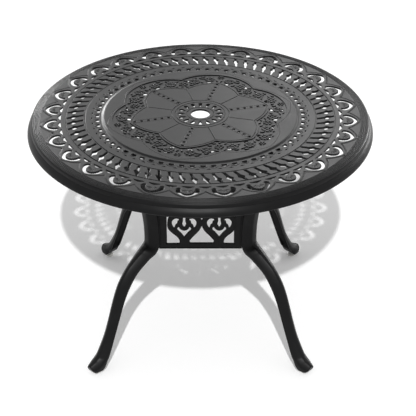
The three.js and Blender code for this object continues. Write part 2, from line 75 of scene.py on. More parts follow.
# swaps X and Y, which mirrors over the leg's diagonal
OVER_DIAGONAL = Matrix(((0, 1, 0, 0), (1, 0, 0, 0), (0, 0, 1, 0), (0, 0, 0, 1)))


class Slot(Enum):
    """Material slots of the record."""

    CASTING = "powder_coat"
    ZINC = "zinc"
    NYLON = "nylon"


class Corner(Enum):
    """The four corners, by the leg that stands there."""

    BACK_RIGHT = 0
    BACK_LEFT = 1
    FRONT_LEFT = 2
    FRONT_RIGHT = 3

    @property
    def turn(self) -> float:
        """Angle of the corner's diagonal."""
        return TURN / 8 + self.value * TURN / 4

    @property
    def quarters(self) -> Matrix:
        """Turn from the first corner to this one."""
        return Matrix.Rotation(self.value * TURN / 4, 4, "Z")

    @property
    def label(self) -> str:
        """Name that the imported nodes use."""
        return self.name.lower()

    @property
    def side(self) -> str:
        """Name of the apron that starts at this corner."""
        return ("back", "left", "front", "right")[self.value]


@dataclass(frozen=True)
class Fixings:
    """Places of the screws, which top, legs and screws share."""

    head_reach: float = 0.340
    head_off: float = 0.046
    lug_off: float = 0.1174
    lug_rise: float = 0.044

    def head_places(self) -> list[Point2]:
        """The two head screws, along the leg's diagonal and across it."""
        return [(self.head_reach, side * self.head_off) for side in (-1, 1)]


FIXINGS = Fixings()


# Shader values as Python expressions


class Wire:
    """A shader socket that Python operators build nodes on."""

    def __init__(self, graph: "Graph", socket: bpy.types.NodeSocket) -> None:
        """Wraps one socket of a graph."""
        self.graph = graph
        self.socket = socket

    def math(self, operation: str, *others: "Wire | float") -> "Wire":
        """Adds a Math node on this value and others."""
        inputs = dict(enumerate((self, *others)))
        return self.graph.node("ShaderNodeMath", {"operation": operation}, inputs)

    def __add__(self, other: "Wire | float") -> "Wire":
        """Sum."""
        return self.math("ADD", other)

    __radd__ = __add__

    def __sub__(self, other: "Wire | float") -> "Wire":
        """Difference."""
        return self.math("SUBTRACT", other)

    def __rsub__(self, other: float) -> "Wire":
        """Difference from a number."""
        return self * -1 + other

    def __mul__(self, other: "Wire | float") -> "Wire":
        """Product."""
        return self.math("MULTIPLY", other)

    __rmul__ = __mul__

    def above(self, edge: float, soft: float) -> "Wire":
        """Mask that rises from 0 to 1 between an edge and a soft width past it."""
        inputs = {"Value": self, "From Min": edge, "From Max": edge + soft}
        return self.graph.node("ShaderNodeMapRange", {"interpolation_type": "SMOOTHSTEP"}, inputs)


class Graph:
    """Node tree of a material or world."""

    def __init__(self, tree: bpy.types.NodeTree) -> None:
        """Empties the tree."""
        self.tree = tree
        tree.nodes.clear()

    def node(
        self,
        kind: str,
        settings: dict[str, object] | None = None,
        inputs: Sockets | None = None,
        output: str | int = 0,
    ) -> Wire:
        """Adds any node.

        Args:
            kind: the node's type.
            settings: its properties, set before its sockets.
            inputs: values or wires by socket name or number.
            output: the output wanted.

        Returns:
            The wanted output, or the first socket of a node without outputs.
        """
        made = self.tree.nodes.new(kind)
        for key, value in (settings or {}).items():
            setattr(made, key, value)
        for key, value in (inputs or {}).items():
            if isinstance(value, Wire):
                self.tree.links.new(value.socket, made.inputs[key])
            else:
                made.inputs[key].default_value = value
        return Wire(self, made.outputs[output] if made.outputs else made.inputs[0])

    def place(self) -> Wire:
        """Point on the surface, in the object's frame."""
        return self.node("ShaderNodeTexCoord", output="Object")

    def noise(self, place: Wire, scale: float, detail: float) -> Wire:
        """Soft noise round one half, with so many waves in a metre and so many octaves."""
        return self.node("ShaderNodeTexNoise", inputs={"Vector": place, "Scale": scale, "Detail": detail})

    def blend(self, mask: Wire, low: Colour, high: Colour) -> Wire:
        """Colour that goes from low to high with a mask."""
        inputs = {0: mask, 6: (*low, 1.0), 7: (*high, 1.0)}
        return self.node("ShaderNodeMix", {"data_type": "RGBA"}, inputs, 2)

    def bump(self, height: Wire, strength: float, depth: float) -> Wire:
        """Normal tilted by a height that reaches so deep."""
        inputs = {"Strength": strength, "Distance": depth, "Height": height}
        return self.node("ShaderNodeBump", inputs=inputs)

    def seen_rays(self) -> Wire:
        """One for the rays that show the background: from the camera, off gloss and through glass.

        Returns:
            The mask.
        """
        names = ("Is Camera Ray", "Is Glossy Ray", "Is Transmission Ray")
        camera, glossy, transmission = [self.node("ShaderNodeLightPath", output=name) for name in names]
        return camera + glossy + transmission


@dataclass(frozen=True)
class Finish(ABC):
    """A finish of the table or the studio, made as one Principled material."""

    name: str

    @abstractmethod
    def sockets(self, graph: Graph) -> Sockets:
        """Values and wires for the Principled node."""

    def material(self) -> bpy.types.Material:
        """Builds the finish.

        Returns:
            The material.
        """
        made = bpy.data.materials.new(self.name)
        made.use_nodes = True
        graph = Graph(made.node_tree)
        shader = graph.node("ShaderNodeBsdfPrincipled", inputs=self.sockets(graph))
        graph.node("ShaderNodeOutputMaterial", inputs={"Surface": shader})
        return made


@dataclass(frozen=True)
class PowderCoat(Finish):
    """Black satin powder coat on cast aluminium."""

    name: str = "black powder coat"
    deep: Colour = (0.0030, 0.0030, 0.0032)
    pale: Colour = (0.0062, 0.0062, 0.0065)
    roughness: float = 0.36
    patch_swing: float = 0.05
    peel_swing: float = 0.08
    specular: float = 0.12
    orange_peel: float = 420.0
    cast_waves: float = 34.0
    grit: float = 1500.0
    patches: float = 14.0
    patch_mask: tuple[float, float] = (0.35, 0.4)
    patch_tint: float = 0.4
    grit_tint: float = 0.6
    peel_relief: float = 0.35
    wave_relief: float = 0.8
    grit_relief: float = 0.2
    relief_strength: float = 0.22
    relief_depth: float = 0.0006

    def sockets(self, graph: Graph) -> Sockets:
        """Orange peel, cast waves, grit and dulled patches.

        Args:
            graph: the material's nodes.

        Returns:
            The sockets.
        """
        place = graph.place()
        waves = graph.noise(place, self.cast_waves, 2.0)
        peel = graph.noise(place, self.orange_peel, 3.0)
        grit = graph.noise(place, self.grit, 2.0)
        patches = graph.noise(place, self.patches, 6.0).above(*self.patch_mask)
        evened = self.roughness - self.patch_swing / 2
        tint = patches * self.patch_tint + grit * self.grit_tint
        height = peel * self.peel_relief + waves * self.wave_relief + grit * self.grit_relief
        return {
            "Base Color": graph.blend(tint, self.deep, self.pale),
            "Roughness": patches * self.patch_swing + peel * self.peel_swing + evened,
            "Specular IOR Level": self.specular,
            "Normal": graph.bump(height, self.relief_strength, self.relief_depth),
        }


@dataclass(frozen=True)
class ZincPlate(Finish):
    """Bright zinc on the steel screws and studs."""

    name: str = "zinc plate"
    deep: Colour = (0.42, 0.43, 0.44)
    pale: Colour = (0.62, 0.62, 0.60)
    roughness: float = 0.32
    cloud_swing: float = 0.2
    scratch_swing: float = 0.1
    spangle: float = 160.0
    scratch: float = 2400.0
    relief_strength: float = 0.2
    relief_depth: float = 0.0002

    def sockets(self, graph: Graph) -> Sockets:
        """Cloudy spangle and fine scratches.

        Args:
            graph: the material's nodes.

        Returns:
            The sockets.
        """
        place = graph.place()
        clouds = graph.noise(place, self.spangle, 4.0)
        scratches = graph.noise(place, self.scratch, 2.0)
        evened = self.roughness - (self.cloud_swing + self.scratch_swing) / 2
        return {
            "Base Color": graph.blend(clouds, self.deep, self.pale),
            "Metallic": 1.0,
            "Roughness": clouds * self.cloud_swing + scratches * self.scratch_swing + evened,
            "Normal": graph.bump(scratches, self.relief_strength, self.relief_depth),
        }


@dataclass(frozen=True)
class Nylon(Finish):
    """Pale moulded nylon of the glides, scuffed near the ground."""

    name: str = "pale nylon"
    clean: Colour = (0.62, 0.61, 0.58)
    scuffed: Colour = (0.36, 0.34, 0.31)
    scuff_height: float = 0.003
    scuff_mask: tuple[float, float] = (0.45, 0.2)
    roughness: float = 0.4
    roughness_swing: float = 0.2
    speckle: float = 700.0
    relief_strength: float = 0.3
    relief_depth: float = 0.0002

    def sockets(self, graph: Graph) -> Sockets:
        """Moulded speckle with a scuffed lower edge.

        Args:
            graph: the material's nodes.

        Returns:
            The sockets.
        """
        place = graph.place()
        height = graph.node("ShaderNodeSeparateXYZ", inputs={0: place}, output=2)
        speckle = graph.noise(place, self.speckle, 4.0)
        scuff = (1 - height.above(0.0, self.scuff_height)) * speckle.above(*self.scuff_mask)
        return {
            "Base Color": graph.blend(scuff, self.clean, self.scuffed),
            "Roughness": speckle * self.roughness_swing + self.roughness,
            "Normal": graph.bump(speckle, self.relief_strength, self.relief_depth),
        }


@dataclass(frozen=True)
class WhiteFloor(Finish):
    """Matt white of the floor, which glows a little where it is seen."""

    name: str = "white floor"
    deep: Colour = (0.93, 0.93, 0.93)
    pale: Colour = (0.95, 0.95, 0.95)
    roughness: float = 0.9
    speck: float = 40.0
    glow: float = 0.12

    def sockets(self, graph: Graph) -> Sockets:
        """Faint specks and the glow.

        Args:
            graph: the material's nodes.

        Returns:
            The sockets.
        """
        return {
            "Base Color": graph.blend(graph.noise(graph.place(), self.speck, 2.0), self.deep, self.pale),
            "Roughness": self.roughness,
            "Specular IOR Level": 0.0,
            "Emission Color": (1.0, 1.0, 1.0, 1.0),
            "Emission Strength": graph.seen_rays() * self.glow,
        }


# Outlines and meshes


def polar(radius: float, turn: float) -> Point2:
    """Point at a radius and a turn."""
    return radius * math.cos(turn), radius * math.sin(turn)


def laid_out(points: Iterable[Point2], turn: float) -> Outline:
    """Outline given along a radius and across it, laid at a turn."""
    c, s = math.cos(turn), math.sin(turn)
    return [(along * c - across * s, along * s + across * c) for along, across in points]


def around(count: int, phase: float, outline: Sequence[Point2]) -> list[Outline]:
    """Copies of an outline at even turns round the axis, the first at a phase."""
    return [laid_out(outline, phase + TURN * i / count) for i in range(count)]


def flowing(points: Sequence[Point2], steps: int, corners: Sequence[int] = ()) -> Outline:
    """Closed curve through given points, soft everywhere but at its corners.

    Args:
        points: points that the curve goes through.
        steps: steps between two points.
        corners: numbers of the points that stay sharp.

    Returns:
        The curve's points.
    """
    count = len(points)
    tangents = []
    for i, _ in enumerate(points):
        before, after = points[i - 1], points[(i + 1) % count]
        grip = 0.0 if i in corners else 0.5
        tangents.append((grip * (after[0] - before[0]), grip * (after[1] - before[1])))
    made: Outline = []
    for i, start in enumerate(points):
        end = points[(i + 1) % count]
        leave, arrive = tangents[i], tangents[(i + 1) % count]
        for step in range(steps):
            t = step / steps
            a, b = 2 * t**3 - 3 * t**2 + 1, t**3 - 2 * t**2 + t
            c, d = -2 * t**3 + 3 * t**2, t**3 - t**2
            x, y = [a * start[k] + b * leave[k] + c * end[k] + d * arrive[k] for k in (0, 1)]
            made.append((x, y))
    return made


def mirrored_half(half: Sequence[Point2]) -> Outline:
    """Closed outline from its half on the positive side, which starts and ends on the axis."""
    return [*half, *[(along, -across) for along, across in reversed(half[1:-1])]]


def circle(radius: float, count: int, centre: Point2 = (0.0, 0.0)) -> Outline:
    """Round outline with so many points about a centre."""
    turns = [TURN * i / count for i in range(count)]
    return [(centre[0] + radius * math.cos(t), centre[1] + radius * math.sin(t)) for t in turns]


def groove(path: Sequence[Point2], width: float) -> Outline:
    """Closed outline of a groove of even width along an open path.

    Args:
        path: the groove's middle line.
        width: its width.

    Returns:
        The outline.
    """
    left: Outline = []
    right: Outline = []
    last = len(path) - 1
    for i, (x, y) in enumerate(path):
        ahead, behind = path[min(i + 1, last)], path[max(i - 1, 0)]
        dx, dy = ahead[0] - behind[0], ahead[1] - behind[1]
        size = math.hypot(dx, dy)
        nx, ny = -dy / size * width / 2, dx / size * width / 2
        left.append((x + nx, y + ny))
        right.append((x - nx, y - ny))
    return [*left, *reversed(right)]


def rounded(ring: Sequence[Point2], radii: Sequence[float]) -> Outline:
    """Cuts each corner of a ring with a three-point arc.

    Args:
        ring: the corners.
        radii: how far each cut reaches.

    Returns:
        The rounded ring.
    """
    made: Outline = []
    count = len(ring)
    for i, (x, y) in enumerate(ring):
        ends = []
        for other in (ring[i - 1], ring[(i + 1) % count]):
            dx, dy = other[0] - x, other[1] - y
            size = math.hypot(dx, dy) or 1.0
            cut = min(radii[i], LONGEST_CUT_SHARE * size)
            ends.append((x + dx / size * cut, y + dy / size * cut))
        middle = (
            0.25 * ends[0][0] + 0.5 * x + 0.25 * ends[1][0],
            0.25 * ends[0][1] + 0.5 * y + 0.25 * ends[1][1],
        )
        made += [ends[0], middle, ends[1]]
    return made


def holds(outline: np.ndarray, point: np.ndarray) -> bool:
    """Whether a point lies inside an outline.

    Args:
        outline: closed outline.
        point: the point.

    Returns:
        True inside.
    """
    start, end = outline, np.roll(outline, -1, axis=0)
    crossed = (start[:, 1] > point[1]) != (end[:, 1] > point[1])
    start, end = start[crossed], end[crossed]
    slope = (end[:, 0] - start[:, 0]) / (end[:, 1] - start[:, 1])
    across = start[:, 0] + (point[1] - start[:, 1]) * slope
    return bool(np.count_nonzero(across > point[0]) % 2)


def facing_in(outlines: Sequence[Sequence[Point2]]) -> list[np.ndarray]:
    """Turns nested outlines so that the solid lies on the left of each.

    Args:
        outlines: closed outlines; one inside another is a hole, and so on.

    Returns:
        The outlines as arrays.
    """
    rings = [np.array(outline, dtype=float) for outline in outlines]
    low = np.array([ring.min(axis=0) for ring in rings])
    high = np.array([ring.max(axis=0) for ring in rings])
    made = []
    for i, ring in enumerate(rings):
        point = ring[0]
        near = np.flatnonzero(((low <= point) & (high >= point)).all(axis=1))
        depth = sum(holds(rings[j], point) for j in near if j != i)
        after = np.roll(ring, -1, axis=0)
        area = np.sum(ring[:, 0] * after[:, 1] - after[:, 0] * ring[:, 1])
        made.append(ring if (area > 0) == (depth % 2 == 0) else ring[::-1])
    return made


def moved_out(ring: np.ndarray, step: float) -> np.ndarray:
    """Ring moved out of its solid by a step, with mitred corners.

    Args:
        ring: closed outline with the solid on its left.
        step: distance out of the solid.

    Returns:
        The moved ring.
    """
    edge = np.roll(ring, -1, axis=0) - ring
    size = np.maximum(np.linalg.norm(edge, axis=1, keepdims=True), LEAST_EDGE)
    out = np.stack((edge[:, 1], -edge[:, 0]), axis=1) / size
    before = np.roll(out, 1, axis=0)
    share = 1 + np.sum(out * before, axis=1, keepdims=True)
    return ring + step * (out + before) / np.maximum(share, SHARPEST_MITRE)


def filled(rings: Sequence[np.ndarray]) -> tuple[list[Vector], list[Sequence[int]]]:
    """Triangles between nested rings, found by counting the rings crossed from outside.

    Args:
        rings: closed rings in plan.

    Returns:
        The points and the triangles of the solid.
    """
    flat = [Vector(point) for ring in rings for point in ring]
    edges: list[tuple[int, int]] = []
    for ring in rings:
        first, count = len(edges), len(ring)
        edges += [(first + i, first + (i + 1) % count) for i in range(count)]
    points, lines, triangles, _, sources, _ = delaunay_2d_cdt(flat, edges, [], 0, SNAP)
    walls = {tuple(sorted(line)) for line, source in zip(lines, sources) if len(source) % 2}
    beside: dict[tuple[int, ...], list[int]] = {}
    sides = [[tuple(sorted((t[i], t[i - 1]))) for i in range(len(t))] for t in triangles]
    for number, keys in enumerate(sides):
        for key in keys:
            beside.setdefault(key, []).append(number)
    solid: dict[int, bool] = {}
    waiting = [(pair[0], key in walls) for key, pair in beside.items() if len(pair) == 1]
    while waiting:
        number, inside = waiting.pop()
        if number in solid:
            continue
        solid[number] = inside
        for key in sides[number]:
            waiting += [(other, inside != (key in walls)) for other in beside[key] if other not in solid]
    return points, [t for number, t in enumerate(triangles) if solid[number]]


def shaded_mesh(
    points: Sequence[Sequence[float]],
    faces: Sequence[Sequence[int]],
    smooth: float,
    weld: bool = True,
    face_out: bool = True,
) -> bpy.types.Mesh:
    """Mesh of triangles and quads, shaded smooth up to an angle.

    Args:
        points: its points.
        faces: its faces.
        smooth: sharpest smooth edge in degrees.
        weld: whether points that meet become one.
        face_out: whether the faces are turned outwards.

    Returns:
        The mesh.
    """
    mesh = bpy.data.meshes.new("part")
    mesh.from_pydata(points, [], faces)
    work = bmesh.new()
    work.from_mesh(mesh)
    if weld:
        bmesh.ops.remove_doubles(work, verts=work.verts, dist=WELD)
    bmesh.ops.triangulate(work, faces=[face for face in work.faces if len(face.verts) > 4])
    if face_out:
        bmesh.ops.recalc_face_normals(work, faces=work.faces)
    work.to_mesh(mesh)
    work.free()
    mesh.polygons.foreach_set("use_smooth", [True] * len(mesh.polygons))
    mesh.set_sharp_from_angle(angle=math.radians(smooth))
    return mesh


def plate_mesh(
    outlines: Sequence[Sequence[Point2]],
    bottom: float,
    top: float,
    bevel: float,
    spread: float = 0.0,
    rounds: int = 0,
) -> bpy.types.Mesh:
    """Flat plate from nested outlines, each inside another being a hole, with bevelled edges.

    Args:
        outlines: closed outlines in plan.
        bottom: height of the underside.
        top: height of the upper side.
        bevel: size of the bevel.
        spread: how far the solid grows past its outlines.
        rounds: further steps of the bevel.

    Returns:
        The mesh.
    """
    rings = facing_in(outlines)
    angles = [math.pi / 2 * i / (rounds + 1) for i in range(rounds + 2)]
    upper = [(spread - bevel * (1 - math.sin(a)), top - bevel * (1 - math.cos(a))) for a in angles]
    levels = [*upper, *[(shift, bottom + top - height) for shift, height in reversed(upper)]]
    points: list[tuple[float, float, float]] = []
    faces: list[tuple[int, ...]] = []
    for ring in rings:
        count = len(ring)
        for level, (shift, height) in enumerate(levels):
            low = len(points)
            high = low - count
            points += [(x, y, height) for x, y in moved_out(ring, shift)]
            if level:
                pairs = [(j, (j + 1) % count) for j in range(count)]
                faces += [(high + j, low + j, low + k, high + k) for j, k in pairs]
    caps, triangles = filled([moved_out(ring, spread - bevel) for ring in rings])
    for height, upward in ((top, True), (bottom, False)):
        first = len(points)
        points += [(p.x, p.y, height) for p in caps]
        faces += [tuple(first + i for i in (t if upward else reversed(t))) for t in triangles]
    return shaded_mesh(points, faces, PLATE_SMOOTH, face_out=False)


def lathe_mesh(profile: Sequence[Point2], count: int, closed: bool = True) -> bpy.types.Mesh:
    """Body of revolution round +Z.

    Args:
        profile: radius and height, the solid on the left of the path.
        count: facets round it.
        closed: whether the profile closes on itself.

    Returns:
        The mesh.
    """
    rings = len(profile)
    turns = np.arange(count) * TURN / count
    points = [(r * math.cos(t), r * math.sin(t), z) for t in turns for r, z in profile]
    faces = []
    for i in range(count):
        a, b = i * rings, ((i + 1) % count) * rings
        for j in range(rings if closed else rings - 1):
            k = (j + 1) % rings
            faces.append((a + j, b + j, b + k, a + k))
    return shaded_mesh(points, faces, LATHE_SMOOTH)


def skin_mesh(rings: Sequence[Sequence[Vector]], smooth: float) -> bpy.types.Mesh:
    """Skin through rings of equal point count, capped at both ends.

    Args:
        rings: the rings in order.
        smooth: sharpest smooth edge in degrees.

    Returns:
        The mesh.
    """
    count = len(rings[0])
    points = [tuple(p) for ring in rings for p in ring]
    faces: list[tuple[int, ...]] = []
    for i in range(len(rings) - 1):
        for j in range(count):
            a, b = i * count + j, i * count + (j + 1) % count
            faces.append((a, b, b + count, a + count))
    last = (len(rings) - 1) * count
    faces += [tuple(reversed(range(count))), tuple(range(last, last + count))]
    return shaded_mesh(points, faces, smooth, weld=False)


def block_mesh(low: Sequence[float], high: Sequence[float], bevel: float) -> bpy.types.Mesh:
    """Block between two corners with rounded edges."""
    (x0, y0, z0), (x1, y1, z1) = low, high
    return plate_mesh([[(x0, y0), (x1, y0), (x1, y1), (x0, y1)]], z0, z1, bevel, rounds=1)


def hexagon_mesh(radius: float, bottom: float, top: float) -> bpy.types.Mesh:
    """Chamfered hexagon, its radius taken to the corners."""
    return plate_mesh([circle(radius, 6)], bottom, top, min(HEXAGON_CHAMFER, (top - bottom) / 4))


def put_in_scene(name: str, data: bpy.types.ID) -> bpy.types.Object:
    """New object in the scene.

    Args:
        name: the object's name.
        data: its mesh, light or camera.

    Returns:
        The object.
    """
    made = bpy.data.objects.new(name, data)
    bpy.context.scene.collection.objects.link(made)
    return made


class Bench:
    """Where finished meshes become pieces of the table."""

    def __init__(self) -> None:
        """Makes the three finishes."""
        finishes = {Slot.CASTING: PowderCoat(), Slot.ZINC: ZincPlate(), Slot.NYLON: Nylon()}
        self.materials = {slot: finish.material() for slot, finish in finishes.items()}

    def piece(
        self,
        name: str,
        meshes: Sequence[bpy.types.Mesh],
        slot: Slot,
        body: str,
        node: str,
        place: Matrix | None = None,
    ) -> None:
        """Joins meshes into one piece that rides a body.

        Args:
            name: the piece's name.
            meshes: what it is made of.
            slot: its material slot.
            body: the body that it rides.
            node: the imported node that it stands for.
            place: where the meshes are set down.
        """
        joined = bmesh.new()
        for mesh in meshes:
            if place is not None:
                mesh.transform(place)
            joined.from_mesh(mesh)
        whole = bpy.data.meshes.new(name)
        joined.to_mesh(whole)
        joined.free()
        whole.materials.append(self.materials[slot])
        made = put_in_scene(name, whole)
        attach(made, body)
        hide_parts(node)
        log.info("%s: %d faces on %s", name, len(whole.polygons), body)


# Sub-assemblies


@dataclass
class TopSection:
    """What the sections of the cast top share: its heights, its plate and its engraved lines."""

    panel_rise: float = 0.0035
    plate: float = 0.006
    base_edge: float = 0.0005
    base_spread: float = 0.00012
    face_overlap: float = 1.4
    groove_width: float = 0.0019
    fine_groove: float = 0.0004
    panel_flat: float = 0.2945
    field_facets: int = 180
    panel_facets: int = 120
    height: float = field(init=False)
    field_top: float = field(init=False)

    def __post_init__(self) -> None:
        """Reads the top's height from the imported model."""
        self.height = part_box("table_top")[1].z
        self.field_top = self.height - self.panel_rise

    def rings(self, radii: Iterable[float]) -> list[Outline]:
        """Engraved rings, each as a pair of circles."""
        half = self.groove_width / 2
        return [circle(radius + side * half, self.field_facets) for radius in radii for side in (-1, 1)]

    def sheets(
        self, top: float, face: float, edge: float, engraved: list[Outline], pierced: list[Outline]
    ) -> list[bpy.types.Mesh]:
        """Face sheet with its engraved lines over a base without them.

        Args:
            top: height of the face.
            face: thickness of the face sheet.
            edge: rounding of its edges.
            engraved: border, openings and lines of the face.
            pierced: border and openings of the base.

        Returns:
            The two meshes.
        """
        low = top - self.face_overlap * face
        return [
            plate_mesh(engraved, low, top, edge, rounds=1),
            plate_mesh(pierced, top - self.plate, top - face, self.base_edge, self.base_spread),
        ]


@dataclass
class PiercedField(TopSection):
    """Flat field round the raised panel, with its bands of hearts, rope slots and arches."""

    face: float = 0.0018
    face_edge: float = 0.0011
    field_radius: float = 0.491
    field_rings: tuple[float, ...] = (0.3540, 0.4125)

    hearts: int = 28
    heart_phase: float = 0.145
    heart_foot: float = 0.4387
    heart_height: float = 0.042
    heart_width: float = 0.0695
    leaf_centre: float = 0.4429
    leaf_radius: float = 0.0216
    leaf_swell: float = 0.20
    leaf_tip: float = 1.22
    lobes: int = 7
    lobe_reach: float = 92.0
    lobe_depth: float = 0.0015
    veins: int = 5
    vein_turn: float = 29.0
    vein_span: Point2 = (0.0082, 0.0176)
    vein_width: float = 0.0010
    ogee_radius: float = 0.4525
    ogee_rise: float = 0.0345
    ogee_powers: Point2 = (1.35, 0.9)
    ogee_gap: float = 0.0036
    ogee_steps: int = 24

    ropes: int = 72
    rope_phase: float = 0.0436
    rope_lean: float = 0.048
    rope_middle: float = 0.391
    rope_reach: float = 0.0505
    rope_trim: float = 0.0022
    rope_depth: float = 0.0078
    rope_ring: Point2 = (0.3548, 0.4120)
    rope_ring_spread: float = 0.00006
    rope_ring_bury: float = 0.0006

    arches: int = 64
    arch_phase: float = 0.0244
    arc_foot: float = 0.3180
    arc_rise: float = 0.0092
    arc_bend: float = 1.45
    arc_turn: float = 0.040

    # outlines, as pairs of distance along the radius and across it
    heart_shares: tuple[Point2, ...] = (
        (1.0, 0.0), (0.92, 0.30), (0.74, 0.62), (0.50, 0.88), (0.24, 1.0), (0.04, 0.93), (-0.06, 0.76),
        (-0.02, 0.62),
    )
    wedge: tuple[Point2, ...] = (
        (0.4275, -0.0172), (0.4292, -0.0172), (0.4366, -0.0020), (0.4366, 0.0020), (0.4292, 0.0172),
        (0.4275, 0.0172),
    )
    arch: tuple[Point2, ...] = (
        (0.3105, -0.0076), (0.3170, -0.0076), (0.3208, -0.004712), (0.3222, 0.0), (0.3208, 0.004712),
        (0.3170, 0.0076), (0.3105, 0.0076),
    )
    notch: tuple[Point2, ...] = ((0.3338, -0.0062), (0.3338, 0.0062), (0.3300, 0.0010), (0.3300, -0.0010))
    # radius and width of a rope slot
    rope_rungs: tuple[Point2, ...] = (
        (0.3580, 0.0084), (0.3690, 0.0092), (0.3790, 0.0100), (0.3830, 0.0154), (0.3880, 0.0212),
        (0.3925, 0.0192), (0.3965, 0.0120), (0.4025, 0.0092), (0.4092, 0.0078),
    )

    def heart_slot(self) -> Outline:
        """Heart-shaped slot that points outwards, round a leaf with scalloped lobes.

        Returns:
            The outline.
        """
        half = [
            (self.heart_foot + along * self.heart_height, across * self.heart_width / 2)
            for along, across in self.heart_shares
        ]
        steps = 4 * self.lobes - 2
        for step in range(steps):
            left = 1 - step / steps
            way = math.radians(self.lobe_reach) * left
            scallop = self.lobe_depth * (1 - abs(math.cos(math.pi * left * (self.lobes - 0.5))))
            radius = self.leaf_radius * (1 + self.leaf_swell * math.cos(way) ** 2) - scallop
            half.append((self.leaf_centre + radius * math.cos(way), radius * math.sin(way)))
        half.append((self.leaf_centre + self.leaf_tip * self.leaf_radius, 0.0))
        return flowing(mirrored_half(half), 2, (0,))

    def heart_veins(self) -> list[Outline]:
        """Fan of short veins cut into the leaf inside a heart.

        Returns:
            The outlines.
        """
        made = []
        for i in range(self.veins):
            lean = math.radians(self.vein_turn) * (i - self.veins // 2)
            path = [(self.leaf_centre + r * math.cos(lean), r * math.sin(lean)) for r in self.vein_span]
            made.append(groove(path, self.vein_width))
        return made

    def ogee_ring(self, shift: float) -> Outline:
        """Wavy line that runs over each heart and dips between two.

        Args:
            shift: how far it moves outwards.

        Returns:
            The outline.
        """
        made: Outline = []
        inner, outer = self.ogee_powers
        for i in range(self.hearts):
            centre = self.heart_phase + TURN * i / self.hearts
            for step in range(self.ogee_steps):
                share = step / self.ogee_steps * 2 - 1
                lift = (1 - abs(share) ** inner) ** outer
                radius = self.ogee_radius + self.ogee_rise * lift + shift
                made.append(polar(radius, centre + share * math.pi / self.hearts))
        return made

    def rope_slot(self, trim: float) -> Outline:
        """Slanted slot of the rope band with its eye.

        Args:
            trim: how much narrower it is.

        Returns:
            The outline.
        """
        left, right = [], []
        for radius, width in self.rope_rungs:
            middle = self.rope_lean * (radius - self.rope_middle) / self.rope_reach
            half = (width - trim) / 2 / radius
            left.append(polar(radius, middle - half))
            right.append(polar(radius, middle + half))
        whole = [*left, *reversed(right)]
        return flowing(whole, 3, (0, len(left) - 1, len(left), len(whole) - 1))

    def arch_line(self) -> Outline:
        """Engraved arc over an arched opening.

        Returns:
            The outline.
        """
        shares = (-1.0, -0.7, -0.35, 0.0, 0.35, 0.7, 1.0)
        radii = [self.arc_foot + self.arc_rise * math.cos(share * self.arc_bend) for share in shares]
        path = [polar(radius, share * self.arc_turn) for radius, share in zip(radii, shares)]
        return groove(path, self.fine_groove)

    def openings(self, trim: float) -> list[Outline]:
        """Every opening that goes right through the field.

        Args:
            trim: how much narrower the rope slots are.

        Returns:
            The outlines.
        """
        between = self.arch_phase + math.pi / self.arches
        return [
            *around(self.hearts, self.heart_phase, self.heart_slot()),
            *around(2 * self.hearts, self.heart_phase, self.wedge),
            *around(self.ropes, self.rope_phase, self.rope_slot(trim)),
            *around(self.arches, self.arch_phase, self.arch),
            *around(self.arches, between, self.notch),
        ]

    def meshes(self) -> list[bpy.types.Mesh]:
        """Flat field with its pierced bands, and the thicker ring of the rope band.

        Returns:
            The meshes.
        """
        border = [circle(self.field_radius, self.field_facets), circle(self.panel_flat, self.panel_facets)]
        lines = self.rings(self.field_rings)
        for shift in (0.0, self.ogee_gap):
            lines += [self.ogee_ring(shift), self.ogee_ring(shift + self.fine_groove)]
        lines += around(self.arches, self.arch_phase, self.arch_line())
        for vein in self.heart_veins():
            lines += around(self.hearts, self.heart_phase, vein)
        cut, pierced = [[*border, *self.openings(trim)] for trim in (0.0, self.rope_trim)]
        ring = [circle(radius, self.field_facets) for radius in self.rope_ring]
        ring += around(self.ropes, self.rope_phase, self.rope_slot(self.rope_trim))
        low = self.field_top - self.rope_depth
        high = self.field_top - self.plate + self.rope_ring_bury
        return [
            *self.sheets(self.field_top, self.face, self.face_edge, [*cut, *lines], pierced),
            plate_mesh(ring, low, high, self.base_edge, self.rope_ring_spread),
        ]


